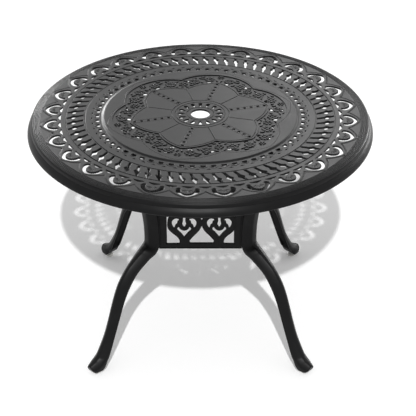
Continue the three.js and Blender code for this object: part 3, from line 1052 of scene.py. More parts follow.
@dataclass
class RaisedPanel(TopSection):
    """Raised panel round the umbrella hole, with its petals, spokes, stars and flowers."""

    panel_face: float = 0.0026
    panel_edge: float = 0.0006
    panel_radius: float = 0.3045
    hole_radius: float = 0.0295
    hole_facets: int = 48
    panel_rings: tuple[float, ...] = (0.0765, 0.0885, 0.0415)

    spokes: int = 6
    spoke_phase: float = math.pi / 12
    spoke_hole_half: float = 0.0041
    spoke_hole_first: float = 0.0995
    spoke_hole_step: float = 0.0212
    spoke_holes: int = 6
    bead_off: float = 0.0076
    bead_span: Point2 = (0.0925, 0.2060)
    ray_span: Point2 = (0.0915, 0.1655)
    petals: int = 16
    bud_share: float = 0.22
    bud_facets: int = 10
    star_steps: int = 12

    # outlines, as pairs of distance along the radius and across it
    half_petal: tuple[Point2, ...] = (
        (0.0465, 0.0), (0.0535, 0.0032), (0.0615, 0.0062), (0.0675, 0.0050), (0.0702, 0.0),
    )
    leaf_shares: tuple[Point2, ...] = (
        (-0.5, 0.0), (-0.2, 0.42), (0.2, 0.42), (0.5, 0.0), (0.2, -0.42), (-0.2, -0.42),
    )
    half_flower_shares: tuple[Point2, ...] = ((0.36, 0.0), (0.60, 0.19), (0.86, 0.25), (1.0, 0.0))
    # tip, valley and bulge of a star
    inner_star: tuple[float, float, float] = (0.2140, 0.1690, 0.002)
    outer_star: tuple[float, float, float] = (0.2900, 0.2440, 0.004)
    relief_stars: tuple[tuple[float, float, float], ...] = ((0.2215, 0.1765, 0.003), (0.2720, 0.2385, 0.009))
    # radius, angle from the spoke, size and petals of the raised flowers
    flowers: tuple[tuple[float, float, float, int], ...] = (
        (0.2590, 0.0, 0.0105, 6),
        (0.2110, math.pi / 6, 0.0150, 7),
        (0.2405, -0.135, 0.0170, 8),
        (0.2225, -0.345, 0.0180, 8),
        (0.2405, 0.135, 0.0170, 8),
        (0.2225, 0.345, 0.0180, 8),
    )
    # radius, angle from the spoke, length, width and lean of the leaves
    raised_leaves: tuple[tuple[float, ...], ...] = (
        (0.2345, 0.030, 0.014, 0.0075, 1.2),
        (0.2180, 0.235, 0.015, 0.0070, 0.9),
        (0.2445, 0.240, 0.019, 0.0075, 0.2),
        (0.2560, 0.225, 0.015, 0.0065, -0.3),
        (0.2450, 0.335, 0.015, 0.0065, -0.2),
        (0.1990, 0.400, 0.014, 0.0070, 0.5),
        (0.2330, 0.470, 0.014, 0.0065, 0.6),
        (0.1890, 0.475, 0.012, 0.0065, 0.4),
    )
    under_leaves: tuple[tuple[float, ...], ...] = (
        (0.2200, 0.125, 0.018, 0.0135, 0.5),
        (0.2310, 0.405, 0.018, 0.0135, -0.4),
        (0.2540, 0.150, 0.012, 0.0090, -0.2),
    )

    def star(self, tip: float, valley: float, bulge: float, shift: float = 0.0) -> Outline:
        """Six-pointed star line with bulging edges.

        Args:
            tip: radius of its tips.
            valley: radius between them.
            bulge: how far each edge swells.
            shift: how far the line moves outwards.

        Returns:
            The outline.
        """
        made: Outline = []
        for i in range(2 * self.spokes):
            turn = self.spoke_phase + math.pi * i / self.spokes
            start, end = (tip, valley) if i % 2 == 0 else (valley, tip)
            for step in range(self.star_steps):
                t = step / self.star_steps
                radius = start + (end - start) * t + bulge * math.sin(math.pi * t) + shift
                made.append(polar(radius, turn + math.pi / self.spokes * t))
        return made

    def leaves(self, radius: float, off: float, length: float, width: float, lean: float) -> list[Outline]:
        """Leaves on both sides of every spoke.

        Args:
            radius: how far out they lie.
            off: angle from the spoke.
            length: length of the leaf.
            width: its width.
            lean: its turn away from the ring.

        Returns:
            The outlines.
        """
        made = []
        for side in (-1, 1):
            c, s = math.cos(side * lean), math.sin(side * lean)
            shape = [
                (radius + y * width * c + x * length * s, x * length * c - y * width * s)
                for x, y in self.leaf_shares
            ]
            made += around(self.spokes, self.spoke_phase + side * off, flowing(shape, 3, (0, 3)))
        return made

    def flower(self, radius: float, off: float, size: float, petals: int) -> list[Outline]:
        """Flower in each sixth of the panel, a ring of petals round a bud.

        Args:
            radius: how far out it lies.
            off: angle from the spoke.
            size: its radius.
            petals: its petals.

        Returns:
            The outlines.
        """
        made = []
        petal = mirrored_half([(along * size, across * size) for along, across in self.half_flower_shares])
        for i in range(self.spokes):
            x, y = polar(radius, self.spoke_phase + off + TURN * i / self.spokes)
            made.append(circle(size * self.bud_share, self.bud_facets, (x, y)))
            for shape in around(petals, 0.0, petal):
                made.append([(x + dx, y + dy) for dx, dy in shape])
        return made

    def relief(self) -> list[Outline]:
        """Recessed band between two stars, with the flowers and leaves that stand in it.

        Returns:
            The outlines.
        """
        made = [self.star(*row) for row in self.relief_stars]
        for row in self.flowers:
            made += self.flower(*row)
        for row in self.raised_leaves:
            made += self.leaves(*row)
        return made

    def spoke_openings(self) -> list[Outline]:
        """Small square holes along every spoke.

        Returns:
            The outlines.
        """
        made, half = [], self.spoke_hole_half
        for step in range(self.spoke_holes):
            low = self.spoke_hole_first + self.spoke_hole_step * step - half
            high = low + 2 * half
            square = [(low, -half), (high, -half), (high, half), (low, half)]
            made += around(self.spokes, self.spoke_phase, square)
        return made

    def lines(self) -> list[Outline]:
        """Engraved lines of the raised panel.

        Returns:
            The outlines.
        """
        lines = self.rings(self.panel_rings)
        for row, width in ((self.inner_star, self.groove_width), (self.outer_star, self.fine_groove)):
            lines += [self.star(*row, shift) for shift in (0.0, width)]
        lines += self.relief()
        ray = groove([(radius, 0.0) for radius in self.ray_span], self.groove_width)
        lines += around(self.spokes, self.spoke_phase + math.pi / self.spokes, ray)
        for off in (-self.bead_off, self.bead_off):
            bead = groove([(radius, off) for radius in self.bead_span], self.fine_groove)
            lines += around(self.spokes, self.spoke_phase, bead)
        return lines

    def meshes(self) -> list[bpy.types.Mesh]:
        """Raised panel: engraved face over a pierced base, and its sloped edge.

        Returns:
            The meshes.
        """
        top, low = self.height, self.field_top
        border = [circle(self.panel_flat, self.panel_facets), circle(self.hole_radius, self.hole_facets)]
        petals = around(self.petals, 0.0, flowing(mirrored_half(self.half_petal), 3, (0,)))
        holes = self.spoke_openings()
        under = [outline for row in self.under_leaves for outline in self.leaves(*row)]
        engraved = [*border, *petals, *holes, *self.lines()]
        pierced = [*border, *petals, *under, *holes]
        slope = [
            (self.panel_flat - 0.001, top - 0.004),
            (self.panel_radius + 0.001, low - 0.003),
            (self.panel_radius + 0.001, low - 0.0004),
            (self.panel_radius - 0.0005, low + 0.0001),
            (self.panel_radius - 0.0030, low + 0.0005),
            (self.panel_radius - 0.0050, low + 0.0015),
            (self.panel_flat + 0.0035, top - 0.0010),
            (self.panel_flat + 0.0018, top - 0.0003),
            (self.panel_flat + 0.0004, top - 0.00002),
            (self.panel_flat - 0.001, top - 0.0001),
        ]
        return [
            *self.sheets(top, self.panel_face, self.panel_edge, engraved, pierced),
            lathe_mesh(slope, self.field_facets),
        ]


@dataclass
class RimAndRibs(TopSection):
    """Rim with its reeds and hollow skirt, and the ribs and posts below the plate."""

    rim_facets: int = 240
    reeds: int = 5
    reed_first: float = 0.4932
    reed_step: float = 0.0043
    reed_drop: float = 0.0002
    reed_fall: float = 0.0001

    ribs: int = 6
    rib_half: float = 0.0029
    rib_round: float = 0.0008
    rib_bury: float = 0.002
    rib_depth: float = 0.008
    hub_rib_depth: float = 0.009
    hub_rib: float = 0.0800
    panel_rib: float = 0.2960
    seat_rib: float = 0.3430
    ring_root_half: float = 0.0034
    ring_side_half: float = 0.0027
    ring_foot_half: float = 0.0018
    ring_bury: float = 0.0045
    post_facets: int = 28

    # distance from a reed's middle and drop below its crown
    reed: tuple[Point2, ...] = (
        (-0.0020, 0.0013), (-0.0012, 0.0003), (0.0, 0.0), (0.0012, 0.0004), (0.0020, 0.0015),
    )
    # radius and drop below the field
    rim_start: Point2 = (0.4895, 0.0012)
    rim_outside: tuple[Point2, ...] = (
        (0.5145, 0.0026), (0.5164, 0.0040), (0.5178, 0.0066), (0.5185, 0.0105), (0.5187, 0.0150),
        (0.5182, 0.0162), (0.5192, 0.0174), (0.5222, 0.0205), (0.5255, 0.0250), (0.5280, 0.0295),
        (0.5296, 0.0340), (0.5299, 0.0372), (0.5290, 0.0384),
    )
    rim_inside: tuple[Point2, ...] = (
        (0.5253, 0.0384), (0.5245, 0.0374), (0.5215, 0.0300), (0.5165, 0.0230), (0.5130, 0.0160),
        (0.5095, 0.0100), (0.5030, 0.0070), (0.4895, 0.0060),
    )

    def rim_mesh(self) -> bpy.types.Mesh:
        """Rim with its fine reeds, cove, arris and hollow skirt.

        Returns:
            The mesh.
        """
        profile = [self.rim_start]
        for i in range(self.reeds):
            middle, crown = self.reed_first + self.reed_step * i, self.reed_drop + self.reed_fall * i * i
            profile += [(middle + out, crown + drop) for out, drop in self.reed]
        profile += [*self.rim_outside, *self.rim_inside]
        placed = [(radius, self.field_top - drop) for radius, drop in reversed(profile)]
        return lathe_mesh(placed, self.rim_facets)

    def rib_meshes(self) -> list[bpy.types.Mesh]:
        """Ring ribs, spoke ribs and the posts of the head screws on the underside.

        Returns:
            The meshes.
        """
        under = self.field_top - self.plate
        low, shallow = under - self.rib_depth, self.height - self.plate - self.hub_rib_depth
        made = []
        for radius, foot in ((self.panel_rib, low), (self.seat_rib, low), (self.hub_rib, shallow)):
            side = [
                (self.ring_root_half, under + self.ring_bury),
                (self.ring_side_half, foot + self.rib_round),
                (self.ring_foot_half, foot),
            ]
            profile = [(radius - out, z) for out, z in side] + [(radius + out, z) for out, z in reversed(side)]
            made.append(lathe_mesh(profile, self.panel_facets))
        for i in range(self.ribs):
            start = (self.hub_rib, -self.rib_half, shallow)
            end = (self.panel_rib, self.rib_half, self.height - self.plate + self.rib_bury)
            rib = block_mesh(start, end, self.rib_round)
            rib.transform(Matrix.Rotation(TURN / 8 + TURN * i / self.ribs, 4, "Z"))
            made.append(rib)
        profile = [
            (0.0046, under + 0.002), (0.0046, low + 0.0004), (0.0092, low), (0.0099, low + 0.0008),
            (0.0104, under - 0.0006), (0.0118, under + 0.001),
        ]
        for corner in Corner:
            for x, y in laid_out(FIXINGS.head_places(), corner.turn):
                post = lathe_mesh(profile, self.post_facets)
                post.transform(Matrix.Translation((x, y, 0.0)))
                made.append(post)
        return made

    def meshes(self) -> list[bpy.types.Mesh]:
        """The rim and every rib."""
        return [self.rim_mesh(), *self.rib_meshes()]


class TableTop:
    """The whole cast top, which is one piece."""

    def build(self, bench: Bench) -> None:
        """Makes the casting."""
        sections = (PiercedField(), RaisedPanel(), RimAndRibs())
        meshes = [mesh for section in sections for mesh in section.meshes()]
        bench.piece("top_casting", meshes, Slot.CASTING, "frame", "table_top")


@dataclass
class Station:
    """One section of a leg."""

    reach: float
    height: float
    lean: float
    depth: float
    width: float
    nose: float
    filled: float


@dataclass
class Leg:
    """A cast leg: an open channel with its corner out, swept from the head plate to the toe."""

    wall: float = 0.0055
    post_reach: float = 0.2358
    post_width: float = 0.0636
    post_nose: float = 0.0206
    post_depth: float = 0.0244
    waist: float = 0.3965
    knee: float = 0.3765
    head_reach: float = 0.346
    head_under: float = 0.7192
    head_thick: float = 0.008
    head_round: float = 0.0009
    head_hole: float = 0.0044
    shin_width: float = 0.044
    shin_nose: float = 0.010
    toe_reach: float = 0.493
    toe_width: float = 0.050
    sole: float = 0.0116
    lug_low: float = 0.3715
    lug_high: float = 0.4875
    lug_start: float = 0.104
    lug_edge: float = 0.12925
    lug_cover: float = 0.007
    lug_corner: float = 0.003
    lug_round: float = 0.0007
    lug_span: Point2 = (0.1557, 0.1617)
    lug_hole: float = 0.0034
    web: float = 0.0068
    web_inset: float = 0.001
    web_span: Point2 = (0.1560, 0.1705)
    hole_facets: int = 20
    steps: int = 5
    smooth: float = 42.0
    core_share: float = 0.8
    least_nose: float = 0.0006

    # how far each section of the upper leg stands above the waist, as shares
    upper_shares: tuple[float, ...] = (1.0, 0.88, 0.75, 0.6, 0.45, 0.3, 0.15, 0.0)
    # reach, height, lean, depth, slimness, toe: shares as in the part's source
    lower_shares: tuple[tuple[float, ...], ...] = (
        (0.0, 1.0, 0.29, 1.0, 0.0, 0.0),
        (0.055, 0.976, 0.57, 1.40, 0.25, 0.0),
        (0.102, 0.957, 0.62, 1.38, 0.4, 0.0),
        (0.164, 0.933, 0.59, 1.32, 0.6, 0.0),
        (0.327, 0.854, 0.69, 1.22, 1.0, 0.0),
        (0.46, 0.748, 0.59, 1.18, 1.0, 0.0),
        (0.541, 0.641, 0.35, 1.07, 1.0, 0.0),
        (0.6, 0.535, 0.17, 1.0, 1.0, 0.0),
        (0.712, 0.323, 0.1, 0.89, 1.0, 0.0),
        (0.841, 0.163, 0.22, 1.14, 1.0, 0.3),
        (0.891, 0.129, 0.36, 1.26, 1.0, 0.3),
        (0.934, 0.113, 0.66, 1.52, 1.0, 0.4),
        (0.965, 0.102, 0.94, 1.52, 1.15, 0.2),
        (0.988, 0.094, 1.15, 1.16, 1.4, 0.0),
        (1.0, 0.084, 1.29, 0.5, 2.1, 0.0),
    )
    solid_from: int = 9
    # how far the corners of a section are cut, from the nose round to the channel
    section_cuts: tuple[float, ...] = (0.0035, 0.0045, 0.0014, 0.0012, 0.0025, 0.0020)
    # along the diagonal, across it, and how far the corner is cut
    half_head: tuple[tuple[float, float, float], ...] = (
        (0.298, 0.034, 0.004), (0.329, 0.034, 0.006), (0.333, 0.058, 0.006), (0.357, 0.058, 0.006),
    )

    def flare(self, height: float) -> float:
        """Outward sweep of the upper leg at a height."""
        share = max(0.0, height - self.waist) / (self.head_under - self.waist)
        return (self.head_reach - self.post_reach) * share**2

    def upper_stations(self) -> list[Station]:
        """Sections from the head to the waist.

        Returns:
            The sections.
        """
        made = []
        span = self.head_under - self.waist
        for share in self.upper_shares:
            height = self.waist + span * share
            slope = -math.atan(2 * (self.head_reach - self.post_reach) * share / span)
            lean, depth = slope, self.post_depth
            if share == 1.0:
                lean, depth = 0.0, self.post_depth / math.cos(slope)
            reach = self.post_reach + self.flare(height)
            made.append(Station(reach, height, lean, depth, self.post_width, self.post_nose, 0.0))
        return made

    def lower_stations(self) -> list[Station]:
        """Sections from the knee to the toe.

        Returns:
            The sections.
        """
        made = []
        for i, (reach, height, lean, depth, slim, toe) in enumerate(self.lower_shares):
            width = self.post_width + slim * (self.shin_width - self.post_width)
            nose = self.post_nose + min(1.0, slim) * (self.shin_nose - self.post_nose)
            made.append(
                Station(
                    self.post_reach + reach * (self.toe_reach - self.post_reach),
                    height * self.knee,
                    lean,
                    depth * self.post_depth,
                    width + toe * (self.toe_width - self.shin_width),
                    nose + toe * self.shin_nose,
                    1.0 if i > self.solid_from else 0.0,
                )
            )
        return made

    def refined(self) -> list[Station]:
        """Stations on a soft curve through the chosen ones.

        Returns:
            The sections.
        """
        rough = [*self.upper_stations(), *self.lower_stations()]
        last = len(rough) - 1
        made = []
        for i in range(last):
            parts = [vars(rough[k]) for k in (max(i - 1, 0), i, i + 1, min(i + 2, last))]
            for step in range(self.steps):
                t = step / self.steps
                weights = (
                    -0.5 * t**3 + t**2 - 0.5 * t,
                    1.5 * t**3 - 2.5 * t**2 + 1,
                    -1.5 * t**3 + 2 * t**2 + 0.5 * t,
                    0.5 * t**3 - 0.5 * t**2,
                )
                values = {key: sum(w * part[key] for w, part in zip(weights, parts)) for key in parts[0]}
                values["filled"] = min(1.0, max(0.0, values["filled"]))
                made.append(Station(**values))
        return [*made, rough[-1]]

    def section(self, s: Station) -> list[Vector]:
        """Ring of points of one section, corners rounded.

        Args:
            s: the section.

        Returns:
            The points.
        """
        corner = math.tan(math.pi / 8)
        flank, nose = s.width / 2, s.nose / 2
        shoulder = min(flank - nose, s.depth - self.wall)
        outer = [(0.0, nose), (shoulder, flank), (s.depth, flank)]
        channel = [
            (s.depth, flank - self.wall),
            (min(shoulder + self.wall * corner, s.depth), flank - self.wall),
            (self.wall, max(nose - self.wall * corner, self.least_nose)),
        ]
        core = [(s.depth, self.core_share * across) for _, across in reversed(outer)]
        inner = [(a + (c - a) * s.filled, b + (d - b) * s.filled) for (a, b), (c, d) in zip(channel, core)]
        half = [*outer, *inner]
        ring = [*half, *[(a, -b) for a, b in reversed(half)]]
        cuts = [*self.section_cuts, *reversed(self.section_cuts)]
        c, d = math.cos(s.lean), math.sin(s.lean)
        return [Vector((s.reach - a * c, b, s.height - a * d)) for a, b in rounded(ring, cuts)]

    def body_mesh(self) -> bpy.types.Mesh:
        """Swept body, with its sole cut flat for the levelling foot.

        Returns:
            The mesh.
        """
        rings = [self.section(s) for s in self.refined()]
        for ring in rings:
            for point in ring:
                point.z = max(point.z, self.sole)
        return skin_mesh(rings, self.smooth)

    def head_mesh(self) -> bpy.types.Mesh:
        """Plate under the top with its ears.

        Returns:
            The mesh.
        """
        corners = [(along, -across, cut) for along, across, cut in self.half_head]
        corners += reversed(self.half_head)
        soft = rounded([(x, y) for x, y, _ in corners], [cut for _, _, cut in corners])
        holes = [circle(self.head_hole, self.hole_facets, place) for place in FIXINGS.head_places()]
        top = self.head_under + self.head_thick
        return plate_mesh([soft, *holes], self.head_under, top, self.head_round, rounds=1)

    def lug_meshes(self) -> list[bpy.types.Mesh]:
        """Lug strips behind the two aprons that meet the leg, in the frame of the leg between +X and +Y.

        Returns:
            The meshes.
        """
        low, high = self.lug_low, self.lug_high
        middle, edge = (low + high) / 2, self.lug_edge + self.flare(high) * DIAGONAL
        start, end = self.lug_start, edge + self.lug_cover
        border = rounded([(start, low), (end, low), (end, high), (start, high)], [self.lug_corner] * 4)
        levels = (middle - FIXINGS.lug_rise, middle + FIXINGS.lug_rise)
        holes = [circle(self.lug_hole, self.hole_facets, (FIXINGS.lug_off, level)) for level in levels]
        back, front = self.web_span
        made = []
        for mirrored in (False, True):
            strip = plate_mesh([border, *holes], *self.lug_span, self.lug_round, rounds=1)
            strip.transform(FACING_X)
            rings = []
            for level in (low + self.web_inset, self.waist, middle, high - self.web_inset):
                out = front + self.flare(level) * DIAGONAL
                plan = [(back, edge), (back, edge + self.web), (out, edge + self.web), (out, edge)]
                rings.append([Vector((x, y, level)) for x, y in plan])
            for mesh in (strip, skin_mesh(rings, self.smooth)):
                if mirrored:
                    mesh.transform(OVER_DIAGONAL)
                    mesh.flip_normals()
                made.append(mesh)
        return made

    def build(self, bench: Bench, corner: Corner) -> None:
        """Makes one leg.

        Args:
            bench: where it is put together.
            corner: where it stands.
        """
        meshes = [self.body_mesh(), self.head_mesh()]
        for mesh in meshes:
            mesh.transform(Matrix.Rotation(TURN / 8, 4, "Z"))
        name = f"leg_{corner.label}"
        meshes += self.lug_meshes()
        bench.piece(f"{name}_casting", meshes, Slot.CASTING, "frame", name, corner.quarters)


@dataclass
class Apron:
    """A pierced apron between two legs."""

    bottom: float = 0.3595
    height: float = 0.140
    thickness: float = 0.008
    face: float = 0.170
    half_length: float = 0.12865
    pitch: float = 0.1083
    shift: float = 0.004
    stile: float = 0.0225
    edge: float = 0.0011
    base_edge: float = 0.0005
    base_spread: float = 0.00012
    line_inset: float = 0.0052
    line_half: float = 0.0005
    line_depth: float = 0.0014
    sheet_overlap: float = 0.0004
    bends: tuple[float, ...] = (0.3965, 0.42, 0.448, 0.475)

    # points across and up, as shares of half the pitch and of the height
    crescent: tuple[Point2, ...] = (
        (-0.7, 0.69), (-0.655, 0.74), (-0.54, 0.785), (-0.4, 0.79), (-0.285, 0.765), (-0.31, 0.727),
        (-0.38, 0.705), (-0.41, 0.645), (-0.5, 0.61), (-0.562, 0.533), (-0.63, 0.565), (-0.69, 0.63),
    )
    teardrop: tuple[Point2, ...] = (
        (-0.076, 0.811), (0.076, 0.811), (0.062, 0.74), (0.092, 0.68), (0.11, 0.64), (0.062, 0.59),
        (0.0, 0.559), (-0.062, 0.59), (-0.11, 0.64), (-0.092, 0.68), (-0.062, 0.74),
    )
    chevron: tuple[Point2, ...] = (
        (0.0, 0.475), (0.159, 0.494), (0.256, 0.533), (0.32, 0.572), (0.39, 0.527), (0.375, 0.481),
        (0.2, 0.41), (0.0, 0.301), (-0.2, 0.41), (-0.375, 0.481), (-0.39, 0.527), (-0.32, 0.572),
        (-0.256, 0.533), (-0.159, 0.494),
    )
    archway: tuple[Point2, ...] = (
        (0.0, 0.6), (-0.083, 0.52), (-0.22, 0.436), (-0.45, 0.335), (-0.65, 0.236), (-0.7, 0.183),
        (-0.65, 0.139), (0.65, 0.139), (0.7, 0.183), (0.65, 0.236), (0.45, 0.335), (0.22, 0.436),
        (0.083, 0.52),
    )
    gusset: tuple[Point2, ...] = ((-0.085, 0.8), (0.085, 0.8), (0.0, 0.73))
    wing: tuple[Point2, ...] = (
        (-1.5, 0.838), (-0.826, 0.838), (-0.923, 0.772), (-0.965, 0.65), (-0.955, 0.57), (-0.882, 0.501),
        (-0.687, 0.41), (-0.464, 0.333), (-0.325, 0.262), (-0.264, 0.191), (-0.29, 0.127), (-1.5, 0.122),
    )

    def placed(self, points: Sequence[Point2], middle: float, flip: int = 1) -> Outline:
        """Motif at a place along the apron, mirrored or not."""
        return [(middle + flip * x * self.pitch / 2, self.bottom + y * self.height) for x, y in points]

    def half_at(self, height: float) -> float:
        """Half length at a height, clear of the posts."""
        return self.half_length + Leg().flare(height) * DIAGONAL

    @staticmethod
    def clipped(outline: Outline, limit: float) -> Outline:
        """Keeps an outline inside the stiles.

        Args:
            outline: the outline.
            limit: how far it may reach on either side.

        Returns:
            What is left of it.
        """
        made: Outline = []
        for i, end in enumerate(outline):
            start = outline[i - 1]
            for side in (-1, 1):
                if (side * start[0] <= limit) != (side * end[0] <= limit):
                    share = (side * limit - start[0]) / (end[0] - start[0])
                    made.append((side * limit, start[1] + share * (end[1] - start[1])))
            if abs(end[0]) <= limit:
                made.append(end)
        return made

    def openings(self) -> list[Outline]:
        """Every opening of the apron, soft-cornered.

        Returns:
            The outlines.
        """
        left, right = self.shift - self.pitch / 2, self.shift + self.pitch / 2
        inner = self.half_at(self.bottom) - self.stile
        made = [flowing(self.placed(self.archway, self.shift), 3, (0, 6, 7))]
        made.append(self.placed(self.gusset, self.shift))
        for middle in (left, right):
            made += [flowing(self.placed(self.crescent, middle, flip), 3, (9,)) for flip in (-1, 1)]
            made.append(flowing(self.placed(self.teardrop, middle), 3, (0, 1)))
            made.append(flowing(self.placed(self.chevron, middle), 3, (7,)))
        for middle, flip in ((left, 1), (right, -1)):
            wing = flowing(self.placed(self.wing, middle, flip), 3, (0, 1, 10, 11))
            made.append(self.clipped(wing, inner))
        return made

    def border(self, inset: float) -> Outline:
        """Outline of the apron, or a line inside it.

        Args:
            inset: how far inside it lies.

        Returns:
            The outline.
        """
        low, high = self.bottom + inset, self.bottom + self.height - inset
        right = [(self.half_at(level) - inset, level) for level in (low, *self.bends, high)]
        return [*right, *[(-x, level) for x, level in reversed(right)]]

    def build(self, bench: Bench, corner: Corner) -> None:
        """Makes the apron that follows a corner.

        Args:
            bench: where it is put together.
            corner: the corner before it.
        """
        cut = [self.border(0.0), *self.openings()]
        line = [self.border(self.line_inset + side * self.line_half) for side in (-1, 1)]
        depth = self.thickness - self.line_depth
        sheets = [
            plate_mesh([*cut, *line], depth - self.sheet_overlap, self.thickness, self.edge, rounds=1),
            plate_mesh(cut, 0.0, depth, self.base_edge, self.base_spread),
        ]
        for mesh in sheets:
            mesh.transform(Matrix.Translation((0.0, self.face - self.thickness, 0.0)) @ FACING_Y)
        name = f"apron_{corner.side}"
        bench.piece(f"{name}_casting", sheets, Slot.CASTING, "frame", name, corner.quarters)


@dataclass
class Foot:
    """Levelling foot: nylon glide and threaded stud with its hexagon collar."""

    reach: float = 0.460
    radius: float = 0.013
    height: float = 0.007
    socket_radius: float = 0.0046
    socket_floor: float = 0.0030
    stud_low: float = 0.0033
    stud_top: float = 0.0353
    thread_pitch: float = 0.00125
    thread_flank: float = 0.00062
    thread_turns: int = 25
    thread_steps: int = 20
    thread_root: float = 0.0033
    thread_crest: float = 0.00398
    core_radius: float = 0.00335
    collar_radius: float = 0.0075
    collar_low: float = 0.0073
    collar_high: float = 0.0113
    glide_facets: int = 48
    bar_facets: int = 24

    def glide_mesh(self) -> bpy.types.Mesh:
        """Domed pad with a socket for the stud.

        Returns:
            The mesh.
        """
        r, h, socket = self.radius, self.height, self.socket_radius
        profile = [
            (0.0, 0.0), (r - 0.0016, 0.0), (r - 0.0004, 0.0006), (r, 0.0020), (r - 0.0003, 0.0040),
            (r - 0.0018, 0.0060), (r - 0.0040, h), (socket + 0.0006, h), (socket, h - 0.0006),
            (socket, self.socket_floor), (0.0, self.socket_floor),
        ]
        return lathe_mesh(profile, self.glide_facets, closed=False)

    def thread_mesh(self) -> bpy.types.Mesh:
        """Thread that winds up the stud.

        Returns:
            The mesh.
        """
        root, crest, pitch = self.thread_root, self.thread_crest, self.thread_pitch
        steps = self.thread_steps
        points, faces = [], []
        for k in range(self.thread_turns * steps + 1):
            angle, foot = TURN * k / steps, self.stud_low + pitch * k / steps
            for radius, lift in ((root, 0.0), (crest, self.thread_flank), (root, pitch)):
                points.append((*polar(radius, angle), min(foot + lift, self.stud_top)))
        for a in range(0, len(points) - 3, 3):
            faces += [(a, a + 3, a + 4, a + 1), (a + 1, a + 4, a + 5, a + 2)]
        made = bpy.data.meshes.new("thread")
        made.from_pydata(points, [], faces)
        return made

    def stud_meshes(self) -> list[bpy.types.Mesh]:
        """Threaded bar and chamfered collar.

        Returns:
            The meshes.
        """
        low, top, core = self.stud_low, self.stud_top, self.core_radius
        profile = [(0.0, low), (core, low), (core, top), (0.0, top)]
        bar = lathe_mesh(profile, self.bar_facets, closed=False)
        return [self.thread_mesh(), bar, hexagon_mesh(self.collar_radius, self.collar_low, self.collar_high)]

    def build(self, bench: Bench, corner: Corner) -> None:
        """Makes one foot.

        Args:
            bench: where it is put together.
            corner: where it stands.
        """
        x, y = polar(self.reach, corner.turn)
        place = Matrix.Translation((x, y, 0.0)) @ corner.quarters
        glide, stud = f"glide_{corner.label}", f"stud_{corner.label}"
        bench.piece(f"{glide}_pad", [self.glide_mesh()], Slot.NYLON, glide, glide, place)
        bench.piece(f"{stud}_bar", self.stud_meshes(), Slot.ZINC, stud, stud, place)


@dataclass(frozen=True)
class ScrewSize:
    """A hexagon screw: shank, width of the head across flats, height of the head."""

    diameter: float
    head: float
    height: float

    def meshes(self, reach: float) -> list[bpy.types.Mesh]:
        """Head with its dished face, washer face and shank along +Z; the head ends at zero.

        Args:
            reach: length of the shank.

        Returns:
            The meshes.
        """
        low, shank = -self.height, self.diameter * 0.49
        hexagon = hexagon_mesh(self.head / math.sqrt(3) * 0.995, low, -0.0004)
        washer = [(0.0, -0.0006), (self.head * 0.47, -0.0006), (self.head * 0.48, 0.0), (0.0, 0.0)]
        dish = [
            (0.0, low + 0.0004), (self.head * 0.30, low + 0.0003), (self.head * 0.36, low),
            (self.head * 0.40, low + 0.0008), (0.0, low + 0.0012),
        ]
        bar = [
            (0.0, -0.0003), (shank, -0.0003), (shank, reach - 0.0008), (self.diameter * 0.40, reach),
            (0.0, reach),
        ]
        facets = ((washer, 32), (dish, 32), (bar, 20))
        return [hexagon, *[lathe_mesh(profile, count, closed=False) for profile, count in facets]]


@dataclass
class Screws:
    """Hexagon screws that hold the leg heads and the aprons."""

    head_screw: ScrewSize = ScrewSize(0.008, 0.013, 0.0053)
    apron_screw: ScrewSize = ScrewSize(0.006, 0.010, 0.004)
    apron_face: float = 0.1554
    apron_reach: float = 0.0108

    def build(self, bench: Bench, corner: Corner) -> None:
        """Makes the screws that belong to one corner and its apron.

        Args:
            bench: where they are put together.
            corner: the corner.
        """
        for (x, y), end in zip(laid_out(FIXINGS.head_places(), TURN / 8), "ab"):
            name = f"head_bolt_{corner.label}_{end}"
            low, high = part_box(name)
            seat = low.z + self.head_screw.height
            place = Matrix.Translation((x, y, seat)) @ Matrix.Rotation(TURN / 8, 4, "Z")
            meshes = self.head_screw.meshes(high.z - seat)
            bench.piece(f"{name}_screw", meshes, Slot.ZINC, "frame", name, corner.quarters @ place)
            off = FIXINGS.lug_off if end == "b" else -FIXINGS.lug_off
            for level in (1, 2):
                name = f"apron_bolt_{corner.side}_{end}{level}"
                low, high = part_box(name)
                place = Matrix.Translation((off, self.apron_face, (low.z + high.z) / 2))
                place = corner.quarters @ place @ Matrix.Rotation(-TURN / 4, 4, "X")
                meshes = self.apron_screw.meshes(self.apron_reach)
                bench.piece(f"{name}_screw", meshes, Slot.ZINC, "frame", name, place)


